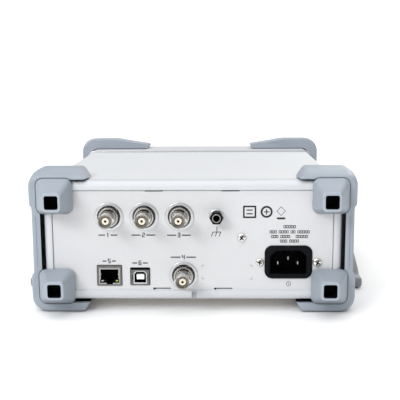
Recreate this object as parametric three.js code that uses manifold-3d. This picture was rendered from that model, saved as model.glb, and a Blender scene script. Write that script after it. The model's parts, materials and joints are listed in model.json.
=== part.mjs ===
// Bench frequency counter: metal case between a plastic rear frame and a plastic
// front housing, four rubber corner bumpers, a bail handle folded under the case,
// a rear connector panel and a front panel with display, keys and knob.
// Millimetres, +Z up, front of the instrument towards -Y, floor at Z = 0.
import * as THREE from 'three';
import { mergeVertices } from 'three/addons/utils/BufferGeometryUtils.js';
import Module from 'manifold-3d';

const wasm = await Module();
wasm.setup();

// ---------------------------------------------------------------- dimensions
const REAR_Y = 118.5;            // outer face of the rear panel
const HALF_W = 103.9;            // case half width
const CASE_Z0 = 9.3;             // case underside
const CASE_Z1 = 93.4;            // case top
const CASE_R = 6;                // case edge radius
const SHEET = 1.2;               // case sheet thickness
const SEAM_Y = REAR_Y - 191;     // joint between case and front housing
const RING_D = 11;               // rear frame depth behind its face
const RING_PROUD = 1.0;          // rear frame stands proud of the rear panel
const PANEL_HW = 97.7;           // visible rear panel half width
const PANEL_Z0 = 16.7;
const PANEL_Z1 = 87.0;
const FRONT_Y = REAR_Y - 243;    // front face of the front housing
const FRONT_HW = 104.6;
const FRONT_Z0 = 8.8;
const FRONT_Z1 = 94.5;
const BUMP_HW = 113.8;             // bumper half width
const BUMP_IN = 107.4;           // inner face of the bumper's side wall
const REAR_BUMP_TOP = 100.5;
const FRONT_BUMP_TOP = 105;
const REAR_BUMP_Y0 = REAR_Y - 34.5;
const REAR_BUMP_Y1 = REAR_Y + 1.6;
const PEG_TIP_Y = REAR_Y + 22;   // tip plane of the rear feet
const PEG_X = 93.2;              // rear foot axes
const PEG_ZT = 82.0;
const PEG_ZB = 21.3;
const PEG_TIP = 13;              // rear foot tip, square
const PEG_HOLE = 9.1;
const FRONT_BUMP_Y1 = REAR_Y - 212.6;
const FRONT_BUMP_Y0 = REAR_Y - 249;
const HANDLE_HW = 130;           // handle half width outside
const PIVOT_Y = REAR_Y - 176.5;    // handle pivot
const PIVOT_Z = 46;
const GRIP_Y = REAR_Y - 66;      // grip centre when folded
const GRIP_Z = 4.8;
const BNC_XZ = { bnc_counter_in: [57.8, 69.1], bnc_aux: [33.3, 69.1], bnc_reference_in: [8.8, 69.1], bnc_reference_out: [6.3, 27.1] };
const JACK_XZ = [-16.7, 69.0];
const LAN_BOX = [49.9, 67.1, 19.4, 33.8];      // x0 x1 z0 z1
const USB_BOX = [30.2, 43.6, 19.7, 32.0];
const INLET = [-83.1, -50.4, 24.6, 47.8];
const INLET_SCREW_X = [-86.8, -46.8];
const INLET_SCREW_Z = 36.1;
const PANEL_SCREW = [-34.1, 53.6];
const GAP = 0.35;

// ------------------------------------------------------------------- helpers
function solid(geo) {
  let g = geo.clone();
  for (const n of Object.keys(g.attributes)) if (n !== 'position') g.deleteAttribute(n);
  g = mergeVertices(g, 1e-4);
  const idx = g.index.array, keep = [];
  for (let i = 0; i < idx.length; i += 3) {
    if (idx[i] !== idx[i + 1] && idx[i + 1] !== idx[i + 2] && idx[i] !== idx[i + 2]) keep.push(idx[i], idx[i + 1], idx[i + 2]);
  }
  return new wasm.Manifold(new wasm.Mesh({ numProp: 3, vertProperties: new Float32Array(g.attributes.position.array), triVerts: new Uint32Array(keep) }));
}
function geometry(m) {
  const mesh = m.getMesh();
  const g = new THREE.BufferGeometry();
  g.setAttribute('position', new THREE.BufferAttribute(new Float32Array(mesh.vertProperties), 3));
  g.setIndex(new THREE.BufferAttribute(new Uint32Array(mesh.triVerts), 1));
  g.computeVertexNormals();
  return g;
}
const cut = (a, ...bs) => bs.reduce((s, b) => s.subtract(solid(b)), a instanceof wasm.Manifold ? a : solid(a));
const join = (a, ...bs) => bs.reduce((s, b) => s.add(solid(b)), a instanceof wasm.Manifold ? a : solid(a));

function rrect(x0, x1, z0, z1, r = 0, seg = 4) {
  const s = new THREE.Shape();
  if (r <= 0) { s.moveTo(x0, z0); s.lineTo(x1, z0); s.lineTo(x1, z1); s.lineTo(x0, z1); s.closePath(); return s; }
  const pts = [];
  for (const [cx, cz, a0] of [[x1 - r, z0 + r, -90], [x1 - r, z1 - r, 0], [x0 + r, z1 - r, 90], [x0 + r, z0 + r, 180]]) {
    for (let i = 0; i <= seg; i++) {
      const a = THREE.MathUtils.degToRad(a0 + 90 * i / seg);
      pts.push(new THREE.Vector2(cx + r * Math.cos(a), cz + r * Math.sin(a)));
    }
  }
  s.setFromPoints(pts);
  return s;
}
const poly = (pts) => new THREE.Shape(pts.map((p) => new THREE.Vector2(p[0], p[1])));
function bevelOpts(b) {
  return b ? { bevelEnabled: true, bevelThickness: b, bevelSize: b, bevelOffset: -b, bevelSegments: 2 } : { bevelEnabled: false };
}
// shape drawn in X, Z and extruded along Y from y0 to y1
function alongY(shape, y0, y1, b = 0, seg = 6) {
  const g = new THREE.ExtrudeGeometry(shape, { depth: y1 - y0 - 2 * b, steps: 1, curveSegments: seg, ...bevelOpts(b) });
  g.rotateX(Math.PI / 2);
  g.translate(0, y1 - b, 0);
  return g;
}
// shape drawn in Y, Z and extruded along X from x0 to x1
function alongX(shape, x0, x1, b = 0, seg = 6) {
  const g = new THREE.ExtrudeGeometry(shape, { depth: x1 - x0 - 2 * b, steps: 1, curveSegments: seg, ...bevelOpts(b) });
  g.applyMatrix4(new THREE.Matrix4().set(0, 0, 1, 0, 1, 0, 0, 0, 0, 1, 0, 0, 0, 0, 0, 1));
  g.translate(x0 + b, 0, 0);
  return g;
}
// shape drawn in X, Y and extruded along Z
function alongZ(shape, z0, z1, b = 0) {
  const g = new THREE.ExtrudeGeometry(shape, { depth: z1 - z0 - 2 * b, steps: 1, curveSegments: 6, ...bevelOpts(b) });
  g.translate(0, 0, z0 + b);
  return g;
}
const box = (x0, x1, y0, y1, z0, z1) => {
  const g = new THREE.BoxGeometry(x1 - x0, y1 - y0, z1 - z0);
  g.translate((x0 + x1) / 2, (y0 + y1) / 2, (z0 + z1) / 2);
  return g;
};
function cylY(x, z, r, y0, y1, seg = 24) {
  const g = new THREE.CylinderGeometry(r, r, y1 - y0, seg);
  g.translate(x, (y0 + y1) / 2, z);
  return g;
}
function cylX(y, z, r, x0, x1, seg = 24) {
  const g = new THREE.CylinderGeometry(r, r, x1 - x0, seg);
  g.rotateZ(-Math.PI / 2);
  g.translate((x0 + x1) / 2, y, z);
  return g;
}
// profile of [radius, distance] pairs revolved about an axis along Y; dir +1 points the distance to +Y
function latheY(profile, x, z, y, dir = 1, seg = 24) {
  let area = 0;
  profile.forEach((p, i) => { const q = profile[(i + 1) % profile.length]; area += p[0] * q[1] - q[0] * p[1]; });
  if (area < 0) profile = profile.slice().reverse();
  const g = new THREE.LatheGeometry(profile.map((p) => new THREE.Vector2(p[0], p[1])), seg);
  if (dir < 0) g.rotateX(Math.PI);
  g.translate(x, y, z);
  return g;
}
// loft between rings of equal point count, ends closed with fans
function loft(rings) {
  const n = rings[0].length, pos = [], idx = [];
  for (const r of rings) for (const p of r) pos.push(...p);
  for (let k = 0; k + 1 < rings.length; k++) {
    for (let i = 0; i < n; i++) {
      const a = k * n + i, b = k * n + (i + 1) % n, c = a + n, d = b + n;
      idx.push(a, b, d, a, d, c);
    }
  }
  for (const [k, flip] of [[0, true], [rings.length - 1, false]]) {
    const c = pos.length / 3, r = rings[k];
    pos.push(...[0, 1, 2].map((j) => r.reduce((s, p) => s + p[j], 0) / n));
    for (let i = 0; i < n; i++) {
      const a = k * n + i, b = k * n + (i + 1) % n;
      flip ? idx.push(c, b, a) : idx.push(c, a, b);
    }
  }
  const g = new THREE.BufferGeometry();
  g.setAttribute('position', new THREE.BufferAttribute(new Float32Array(pos), 3));
  g.setIndex(idx);
  return g;
}
const mirrorX = (m) => m.mirror([1, 0, 0]);

const part = new THREE.Group();
part.name = 'frequency_counter';
function add(name, geo, color, roughness, metalness = 0, parent = part) {
  const g = geo instanceof wasm.Manifold ? geometry(geo) : geo;
  const m = new THREE.Mesh(g, new THREE.MeshStandardMaterial({ color, roughness, metalness }));
  m.name = name;
  parent.add(m);
  return m;
}
const WHITE = 0xe6e8ea, PANEL = 0xdcdee0, RUBBER = 0x9faebf, CHROME = 0xcfcfca, BLACK = 0x15161a, GREY = 0x7d8184, DARKGREY = 0x4a4f55, BOARD = 0x1f5a3c;

// ---------------------------------------------------------------------- case
{
  const y0 = SEAM_Y + GAP, y1 = REAR_Y - RING_D + RING_PROUD - GAP;
  const outer = alongY(rrect(-HALF_W, HALF_W, CASE_Z0, CASE_Z1, CASE_R, 5), y0, y1);
  const inner = alongY(rrect(-HALF_W + SHEET, HALF_W - SHEET, CASE_Z0 + SHEET, CASE_Z1 - SHEET, CASE_R - SHEET, 5), y0 - 1, y1 + 1);
  const tube = cut(outer, inner);
  const splitZ = CASE_Z0 + 9;
  let top = tube.subtract(solid(box(-120, 120, y0 - 5, y1 + 5, -5, splitZ + GAP)));
  let bottom = tube.subtract(solid(box(-120, 120, y0 - 5, y1 + 5, splitZ, 120)));
  // vent slots low in both side walls of the cover
  for (const s of [-1, 1]) for (let i = 0; i < 9; i++) {
    const cy = 18 + i * 7;
    top = cut(top, alongX(rrect(cy - 1.2, cy + 1.2, 56, 78, 1.2, 1), s > 0 ? HALF_W - 4 : -HALF_W - 2, s > 0 ? HALF_W + 2 : -HALF_W + 4));
  }
  add('top_cover', top, WHITE, 0.55, 0.1);
  add('bottom_cover', bottom, WHITE, 0.55, 0.1);
}

// ---------------------------------------------------------------- rear frame
{
  const y0 = REAR_Y - RING_D + RING_PROUD, y1 = REAR_Y + RING_PROUD;
  const back = alongY(rrect(-HALF_W + 0.2, HALF_W - 0.2, CASE_Z0 + 0.1, CASE_Z1 - 0.1, CASE_R, 5), y0 - 6, y1, 3);
  let ring = cut(back, box(-120, 120, y0 - 10, y0, 0, 100), alongY(rrect(-PANEL_HW, PANEL_HW, PANEL_Z0, PANEL_Z1, 2, 3), y0 - 8, y1 + 2));
  // lock slot in the lower rail
  ring = cut(ring, alongY(rrect(-2.8, 0.9, 9.9, 15.0, 1, 2), y1 - 6, y1 + 1));
  add('rear_frame', ring, WHITE, 0.5);
}

// ---------------------------------------------------------------- rear panel
{
  const y0 = REAR_Y - 1.6;
  let p = solid(alongY(rrect(-PANEL_HW + GAP, PANEL_HW - GAP, PANEL_Z0 + GAP, PANEL_Z1 - GAP, 2, 3), y0, REAR_Y));
  for (const k of Object.keys(BNC_XZ)) p = cut(p, cylY(BNC_XZ[k][0], BNC_XZ[k][1], 6.5, y0 - 1, REAR_Y + 1, 18));
  p = cut(p, cylY(JACK_XZ[0], JACK_XZ[1], 3.9, y0 - 1, REAR_Y + 1));
  p = cut(p, alongY(rrect(LAN_BOX[0] - 0.35, LAN_BOX[1] + 0.35, LAN_BOX[2] - 0.35, LAN_BOX[3] + 0.35), y0 - 1, REAR_Y + 1));
  p = cut(p, alongY(rrect(USB_BOX[0] - 0.35, USB_BOX[1] + 0.35, USB_BOX[2] - 0.35, USB_BOX[3] + 0.35), y0 - 1, REAR_Y + 1));
  p = cut(p, alongY(rrect(INLET[0] - 0.35, INLET[1] + 0.35, INLET[2] - 0.35, INLET[3] + 0.35, 3.4, 4), y0 - 1, REAR_Y + 1));
  for (const x of INLET_SCREW_X) p = cut(p, cylY(x, INLET_SCREW_Z, 2.0, y0 - 1, REAR_Y + 1, 12));
  p = cut(p, cylY(PANEL_SCREW[0], PANEL_SCREW[1], 2.0, y0 - 1, REAR_Y + 1, 12));
  // tab slots along the top and bottom edges
  for (const [x0, x1, z] of [[20.1, 32.7, PANEL_Z1 - 1.6], [-32.9, -20.2, PANEL_Z1 - 1.6], [15.4, 27.7, PANEL_Z0 + 0.7], [-27.9, -15.1, PANEL_Z0 + 0.7]]) {
    p = cut(p, box(x0, x1, y0 - 1, REAR_Y + 1, z, z + 0.9));
  }
  add('rear_panel', p, PANEL, 0.4, 0.5);
}

// ------------------------------------------------------------- rear bumpers
function arc(cx, cz, r, a0, a1, n) {
  const out = [];
  for (let i = 0; i <= n; i++) {
    const a = THREE.MathUtils.degToRad(a0 + (a1 - a0) * i / n);
    out.push([cx + r * Math.cos(a), cz + r * Math.sin(a)]);
  }
  return out;
}
function squareRing(cx, cz, w, h, r, y) {
  return rrect(cx - w / 2, cx + w / 2, cz - h / 2, cz + h / 2, r, 3).getPoints().slice(0, 16).map((p) => [p.x, y, p.y]);
}
{
  // C-shaped wrap around one side, drawn for +X
  const T = REAR_BUMP_TOP;
  const c = poly([
    [73, CASE_Z1 + 0.3], [78.3, T], ...arc(BUMP_HW - 8.5, T - 8.5, 8.5, 90, 0, 7),
    [BUMP_HW, 76.5], [BUMP_HW - 1.7, 74], [BUMP_HW - 1.7, 29], [BUMP_HW, 26.5],
    ...arc(BUMP_HW - 11, 11, 11, 0, -90, 7), [76.3, 0], [72.4, CASE_Z0 - 0.3],
    ...arc(BUMP_IN - 6, CASE_Z0 - 0.3 + 6, 6, -90, 0, 4), ...arc(BUMP_IN - 6, CASE_Z1 + 0.3 - 6, 6, 0, 90, 4),
  ]);
  let b = solid(alongY(c, REAR_BUMP_Y0, REAR_BUMP_Y1, 0));
  // sloping top and bottom edges towards the rear
  const slope = (pts) => alongX(poly(pts), 60, 125);
  b = cut(b, slope([[REAR_Y - 14, T + 0.01], [REAR_Y - 4, T - 1.6], [REAR_Y + 1.7, T - 4.4], [REAR_Y + 3, T - 4.4], [REAR_Y + 3, T + 3], [REAR_Y - 14, T + 3]]));
  b = cut(b, slope([[REAR_BUMP_Y0 - 1, T - 3], [REAR_BUMP_Y0, T - 3], [REAR_BUMP_Y0 + 3, T + 0.01], [REAR_BUMP_Y0 + 3, T + 3], [REAR_BUMP_Y0 - 1, T + 3]]));
  b = cut(b, slope([[REAR_Y - 5, -0.01], [REAR_Y - 5, -3], [REAR_Y + 3, -3], [REAR_Y + 3, 2.6], [REAR_Y + 1.7, 2.6]]));
  // chamfer of the outer side towards the rear
  const side = alongZ(poly([[BUMP_HW - 2.4, REAR_Y + 3], [BUMP_HW - 2.4, REAR_Y + 1.7], [BUMP_HW + 0.01, REAR_Y - 5], [BUMP_HW + 3, REAR_Y - 5], [BUMP_HW + 3, REAR_Y + 3]]), 10, 90);
  b = cut(b, side);
  // tapered square feet, each joined to the wrap by a corner block over the rear frame
  for (const [cz, base] of [[PEG_ZT, 83.1], [PEG_ZB, 19.2]]) {
    const zc = base, y = REAR_Y + RING_PROUD + GAP;
    b = b.add(solid(loft([squareRing(95.7, zc, 24, 24.6, 4.5, y), squareRing(95.7, zc, 24, 24.6, 4.5, y + 2.4), squareRing(PEG_X, cz, PEG_TIP, PEG_TIP, 2.4, PEG_TIP_Y - 0.8), squareRing(PEG_X, cz, PEG_TIP - 1.4, PEG_TIP - 1.4, 1.8, PEG_TIP_Y)].map((r) => r.slice().reverse()))));
    // web from the foot to the side wall
    b = b.add(solid(box(103, 111, y, REAR_BUMP_Y1 + 0.2, zc - 9.5, zc + 9.5)));
    b = cut(b, alongY(rrect(PEG_X - PEG_HOLE / 2, PEG_X + PEG_HOLE / 2, cz - PEG_HOLE / 2, cz + PEG_HOLE / 2, 1.5, 3), PEG_TIP_Y - 16, PEG_TIP_Y + 1));
  }
  add('rear_bumper_right', b, RUBBER, 0.75);
  add('rear_bumper_left', mirrorX(b), RUBBER, 0.75);
}

// ------------------------------------------------------------ front bumpers
{
  const T = FRONT_BUMP_TOP;
  const c = poly([
    [50, FRONT_Z1 + 0.6], [50, 99.6], [81, T], ...arc(BUMP_HW - 13, T - 13, 13, 90, 0, 7),
    ...arc(BUMP_HW - 11, 11, 11, 0, -90, 7), [74, 0], [52, 3], [50, FRONT_Z0 - 0.4],
    ...arc(BUMP_IN - 7, FRONT_Z0 - 0.4 + 7, 7, -90, 0, 4), ...arc(BUMP_IN - 7, FRONT_Z1 + 0.6 - 7, 7, 0, 90, 4),
  ]);
  let b = solid(alongY(c, FRONT_BUMP_Y0, FRONT_BUMP_Y1, 1.2));
  // hook over the front edge of the housing at the corners
  const lip = alongY(poly([[92, 84], [92, 97], [100, 97], [108, 89], [111, 80], [111, 24], [108, 14], [100, 6], [92, 6], [92, 19], [99, 26], [101.5, 34], [101.5, 69], [99, 77]]), FRONT_BUMP_Y0 + 0.3, FRONT_Y - GAP, 0);
  b = b.add(solid(lip));
  add('front_bumper_right', b, RUBBER, 0.75);
  add('front_bumper_left', mirrorX(b), RUBBER, 0.75);
}

// ------------------------------------------------------------ front housing
const KEYS = [];          // name, x, z, w, h, corner radius
for (let i = 0; i < 6; i++) KEYS.push([`soft_key_${i + 1}`, -91.5 + (i + 0.5) * 16.333, 22.8, 12, 5.6, 1.6]);
KEYS.push(['function_key', 22, 76, 15, 7.6, 2], ['channel_key', 41, 76, 15, 7.6, 2], ['trigger_key', 22, 62.5, 15, 7.6, 2], ['run_key', 41, 62.5, 15, 7.6, 2]);
KEYS.push(['arrow_key_left', 70.5, 47.5, 10, 7, 2.4], ['arrow_key_right', 86.5, 47.5, 10, 7, 2.4]);
const POWER = ['power_button', 22, 25.5, 10, 10, 4.8];
const KNOB = [78.5, 69];
const IN_BNC = { input_bnc_a: [60, 26.5], input_bnc_b: [84, 26.5] };
const HOST_USB = [34.5, 48.5, 22.2, 29];       // x0 x1 z0 z1
const WIN = [-91.5, 6.5, 29.3, 85.3];
{
  const y0 = FRONT_Y, y1 = SEAM_Y;
  let h = solid(alongY(rrect(-FRONT_HW, FRONT_HW, FRONT_Z0, FRONT_Z1, 7, 5), y0, y1 + 6, 2.5));
  h = cut(h, box(-120, 120, y1, y1 + 12, 0, 100));
  h = cut(h, alongY(rrect(-FRONT_HW + 2.5, FRONT_HW - 2.5, FRONT_Z0 + 2.5, FRONT_Z1 - 2.5, 4.5, 4), y0 + 5.2, y1 + 6));
  h = cut(h, alongY(rrect(-PANEL_HW, PANEL_HW, 16.2, 87.4, 4, 4), y0 - 1, y0 + 8));
  add('front_housing', h, WHITE, 0.5);

  const py0 = FRONT_Y + 1.2, py1 = py0 + 2.4;
  let p = solid(alongY(rrect(-PANEL_HW + GAP, PANEL_HW - GAP, 16.2 + GAP, 87.4 - GAP, 3.6, 4), py0, py1));
  p = cut(p, alongY(rrect(WIN[0] - GAP, WIN[1] + GAP, WIN[2] - GAP, WIN[3] + GAP, 1.5, 2), py0 - 1, py1 + 1));
  for (const [, x, z, w, hh, r] of [...KEYS, POWER]) p = cut(p, alongY(rrect(x - w / 2 - 0.4, x + w / 2 + 0.4, z - hh / 2 - 0.4, z + hh / 2 + 0.4, r, 2), py0 - 1, py1 + 1));
  p = cut(p, cylY(KNOB[0], KNOB[1], 4, py0 - 1, py1 + 1, 16));
  for (const k of Object.keys(IN_BNC)) p = cut(p, cylY(IN_BNC[k][0], IN_BNC[k][1], 6.5, py0 - 1, py1 + 1, 18));
  p = cut(p, box(HOST_USB[0] - GAP, HOST_USB[1] + GAP, py0 - 1, py1 + 1, HOST_USB[2] - GAP, HOST_USB[3] + GAP));
  add('front_panel', p, 0xcfd3d8, 0.45);

  add('display_window', alongY(rrect(WIN[0], WIN[1], WIN[2], WIN[3], 1.2, 2), py0 + 0.1, py0 + 1.9), 0x10141c, 0.1);
  add('display_module', box(WIN[0] + 1, WIN[1] - 1, py1 + 0.4, py1 + 5.4, WIN[2] + 1, WIN[3] - 1), 0x303238, 0.5, 0.2);

  const ky = py1 + 9.6;    // front face of the key board
  let kb = solid(alongY(poly([[-95, 18.5], [32, 18.5], [32, 32], [50, 32], [50, 40], [96, 40], [96, 86], [-95, 86]]), ky, ky + 1.6));
  kb = kb.add(solid(box(KNOB[0] - 6, KNOB[0] + 6, ky - 5, ky + 0.5, KNOB[1] - 6, KNOB[1] + 6)));
  kb = cut(kb, cylY(KNOB[0], KNOB[1], 3.4, ky - 6, ky + 3, 16));
  add('key_board', kb, BOARD, 0.6);

  for (const [name, x, z, w, hh, r] of [...KEYS, POWER]) {
    const proud = name === 'power_button' ? 1.6 : 2.0;
    let k = solid(alongY(rrect(x - w / 2, x + w / 2, z - hh / 2, z + hh / 2, r, 2), py0 - proud, py1 + 3.4));
    k = k.add(solid(box(x - w / 2 - 1, x + w / 2 + 1, py1 + 1.5, py1 + 3, z - hh / 2 - 1, z + hh / 2 + 1)));
    k = k.add(solid(cylY(x, z, 1.8, py1 + 3, ky - 1.4, 6)));
    add(name, k, name === 'power_button' ? 0xdadfe4 : 0xc2c9d1, 0.6);
  }
  // knob: skirted cap with a finger dimple and shaft
  const kn = latheY([[0, 17.2], [8.5, 17.2], [9.8, 16], [10.2, 13], [10.6, 3], [12.2, 2.2], [12.4, 0.6], [3, 0.6], [3, -11.5], [0, -11.5]], KNOB[0], KNOB[1], py0, -1, 24);
  add('knob', cut(kn, cylY(KNOB[0], KNOB[1] + 5.2, 2.4, py0 - 18.5, py0 - 16.4, 12)), 0xb9c2cc, 0.5);
  // front USB host receptacle
  let u = solid(box(HOST_USB[0], HOST_USB[1], py0 - 0.3, py0 + 13, HOST_USB[2], HOST_USB[3]));
  u = cut(u, box(HOST_USB[0] + 0.7, HOST_USB[1] - 0.7, py0 - 1, py0 + 12, HOST_USB[2] + 0.7, HOST_USB[3] - 0.7));
  u = u.add(solid(box(HOST_USB[0] + 1.4, HOST_USB[1] - 1.4, py0 + 0.8, py0 + 12.5, HOST_USB[3] - 2.9, HOST_USB[3] - 1.1)));
  add('usb_host_port', u, CHROME, 0.3, 0.9);
  for (const k of Object.keys(IN_BNC)) add(k, bnc(IN_BNC[k][0], IN_BNC[k][1], py0, -1, 2.4, 15), CHROME, 0.28, 1);
}

// ------------------------------------------------------------ BNC connectors
function bnc(x, z, y, dir, wall, len) {
  // insulated core, shell, thread and rear flange in one revolved body
  const b = latheY([
    [0, len - 4.4], [2.3, len - 4.4], [2.3, 5.0], [4.05, 5.0], [4.05, len], [4.8, len], [4.8, 5.0],
    [6.0, 4.6], [6.0, -wall - 0.3], [8.2, -wall - 0.3], [8.2, -wall - 2.4], [5.0, -wall - 2.4], [5.0, -wall - 9], [0, -wall - 9],
  ], x, z, y, dir, 14);
  const ly = y + dir * (len - 4);
  const lug = new THREE.CylinderGeometry(1.05, 1.05, 11.6, 6);
  lug.rotateX(Math.PI / 2);
  lug.translate(x, ly, z);
  const bore = cylY(x, z, 4.05, Math.min(y + dir * 5.2, y + dir * 20), Math.max(y + dir * 5.2, y + dir * 20), 14);
  let m = solid(b).add(solid(lug).subtract(solid(bore)));
  const parts = m.decompose();
  parts.sort((p, q) => q.volume() - p.volume());
  return parts[0];
}
for (const k of Object.keys(BNC_XZ)) {
  const [x, z] = BNC_XZ[k];
  add(k, bnc(x, z, REAR_Y, 1, 1.6, 18), CHROME, 0.28, 1);
  const nut = new THREE.CylinderGeometry(8.2, 8.2, 2.6, 6);
  nut.rotateY(k === 'bnc_reference_out' ? 0.35 : 0.1);
  nut.translate(x, REAR_Y + 0.35 + 1.1 + 1.3, z);
  const washer = cylY(x, z, 9.5, REAR_Y + 0.35, REAR_Y + 0.35 + 1.2, 24);
  add(k.replace('bnc_', 'bnc_nut_'), cut(join(washer, nut), cylY(x, z, 6.4, REAR_Y - 1, REAR_Y + 8, 18)), CHROME, 0.3, 1);
}

// --------------------------------------------------------------- earth socket
{
  const [x, z] = JACK_XZ;
  add('ground_jack', latheY([[0, 0], [2.1, 0], [2.1, 9.6], [4.3, 9.6], [4.3, 2.7], [3.5, 2.7], [3.5, -14], [0, -14]], x, z, REAR_Y, 1, 16), BLACK, 0.4);
  add('ground_jack_nut', latheY([[3.85, 0.35], [5.2, 0.35], [5.2, 1.9], [4.7, 2.3], [3.85, 2.3], [3.85, 0.35]], x, z, REAR_Y, 1, 18), CHROME, 0.3, 1);
}

// ------------------------------------------------------------ data connectors
{
  const [x0, x1, z0, z1] = LAN_BOX;
  let m = solid(box(x0, x1, REAR_Y - 20, REAR_Y + 0.7, z0, z1));
  m = cut(m, box(x0 + 1.7, x1 - 3.0, REAR_Y - 14, REAR_Y + 1, z0 + 3.0, z1 - 2.6), box(x0 + 4.2, x1 - 5.5, REAR_Y - 14, REAR_Y + 1, z0 + 1.3, z0 + 3.2));
  add('lan_port', m, CHROME, 0.35, 0.9);
}
{
  const [x0, x1, z0, z1] = USB_BOX;
  let m = solid(box(x0, x1, REAR_Y - 15, REAR_Y + 0.7, z0, z1));
  m = cut(m, alongY(poly([[x0 + 2.3, z0 + 1.6], [x1 - 2.3, z0 + 1.6], [x1 - 2.3, z1 - 3.6], [x1 - 3.9, z1 - 2.0], [x0 + 3.9, z1 - 2.0], [x0 + 2.3, z1 - 3.6]]), REAR_Y - 13, REAR_Y + 2));
  add('usb_device_port', m, CHROME, 0.35, 0.9);
  add('usb_device_tongue', box((x0 + x1) / 2 - 2.8, (x0 + x1) / 2 + 2.8, REAR_Y - 12.6, REAR_Y - 1.2, z0 + 3.9, z0 + 7.1), 0xe8e6e0, 0.5);
}

// ---------------------------------------------------------------- mains inlet
{
  const [x0, x1, z0, z1] = INLET;
  let m = solid(alongY(rrect(x0, x1, z0, z1, 5, 4), REAR_Y - 24, REAR_Y + 1.4, 0.5));
  m = m.add(solid(alongY(rrect(-66.8 - 24.8, -66.8 + 24.8, 25.0, 47.2, 6, 4), REAR_Y - 4.9, REAR_Y - 1.6 - GAP)));
  const cav = poly([[-79.3, 27.7], [-54.3, 27.7], [-54.3, 39.6], [-59.0, 44.4], [-74.6, 44.4], [-79.3, 39.6]]);
  m = cut(m, alongY(cav, REAR_Y - 16, REAR_Y + 2));
  for (const x of INLET_SCREW_X) m = cut(m, cylY(x, INLET_SCREW_Z, 1.9, REAR_Y - 6, REAR_Y, 12));
  // seats for the three contact blades
  for (const [dx, dz] of [[-7, 0], [0, 4], [7, 0]]) m = cut(m, box(-66.8 + dx - 1.4, -66.8 + dx + 1.4, REAR_Y - 17 - 4, REAR_Y - 15, 34.2 + dz - 2.4, 34.2 + dz + 2.4));
  add('mains_inlet', m, BLACK, 0.45);
  for (const [name, dx, dz] of [['mains_pin_line', 7, 0], ['mains_pin_earth', 0, 4], ['mains_pin_neutral', -7, 0]]) {
    add(name, alongY(rrect(-66.8 + dx - 1, -66.8 + dx + 1, 34.2 + dz - 2, 34.2 + dz + 2, 0.5, 2), REAR_Y - 20.6, REAR_Y - 4 + (dz ? 0.8 : 0), 0.3), 0xd8d4c4, 0.25, 1);
  }
}
function screw(x, z, r, dir = 1) {
  const head = latheY([[0, 2.1], [r * 0.6, 1.9], [r, 0.7], [r, GAP], [1.55, GAP], [1.55, -4], [0, -4]], x, z, REAR_Y, dir, 12);
  return cut(head, box(x - r * 0.62, x + r * 0.62, REAR_Y + 1.1, REAR_Y + 3, z - 0.5, z + 0.5), box(x - 0.5, x + 0.5, REAR_Y + 1.1, REAR_Y + 3, z - r * 0.62, z + r * 0.62));
}
add('inlet_screw_left', screw(INLET_SCREW_X[0], INLET_SCREW_Z, 3.0), CHROME, 0.3, 1);
add('inlet_screw_right', screw(INLET_SCREW_X[1], INLET_SCREW_Z, 3.0), CHROME, 0.3, 1);
add('panel_screw', screw(PANEL_SCREW[0], PANEL_SCREW[1], 3.1), CHROME, 0.3, 1);

// -------------------------------------------------------------------- inside
{
  add('chassis_tray', cut(box(-98, 98, SEAM_Y + 2, REAR_Y - 26, 11.2, 14.2), box(-96.5, 96.5, SEAM_Y - 1, REAR_Y - 27.5, 12.4, 15)), 0xb8bcc0, 0.4, 0.8);
  let mb = solid(box(-40, 94, -40, REAR_Y - 27, 16.4, 18));
  for (const [x0, x1, y0, y1, h] of [[10, 34, 20, 44, 4], [44, 60, -10, 6, 5], [-20, -2, 30, 60, 8], [60, 84, 30, 52, 7]]) mb = mb.add(solid(box(x0, x1, y0, y1, 17.9, 18 + h)));
  add('main_board', mb, BOARD, 0.6);
  let ps = solid(box(-94, -44, -40, REAR_Y - 27, 16.4, 18));
  for (const [x0, x1, y0, y1, h] of [[-84, -58, 10, 40, 26], [-90, -70, 50, 64, 22], [-60, -50, 50, 80, 30]]) ps = ps.add(solid(box(x0, x1, y0, y1, 17.9, 18 + h)));
  ps = ps.add(solid(cylZ(-76, -18, 9, 17.9, 48)));
  add('power_supply_board', ps, 0x2c6a45, 0.6);
  add('reference_oscillator', box(-8, 18, 0, 18, 18.4, 31), 0xc4c6c8, 0.3, 0.9);
}
function cylZ(x, y, r, z0, z1, seg = 18) {
  const g = new THREE.CylinderGeometry(r, r, z1 - z0, seg);
  g.rotateX(Math.PI / 2);
  g.translate(x, y, (z0 + z1) / 2);
  return g;
}

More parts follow.
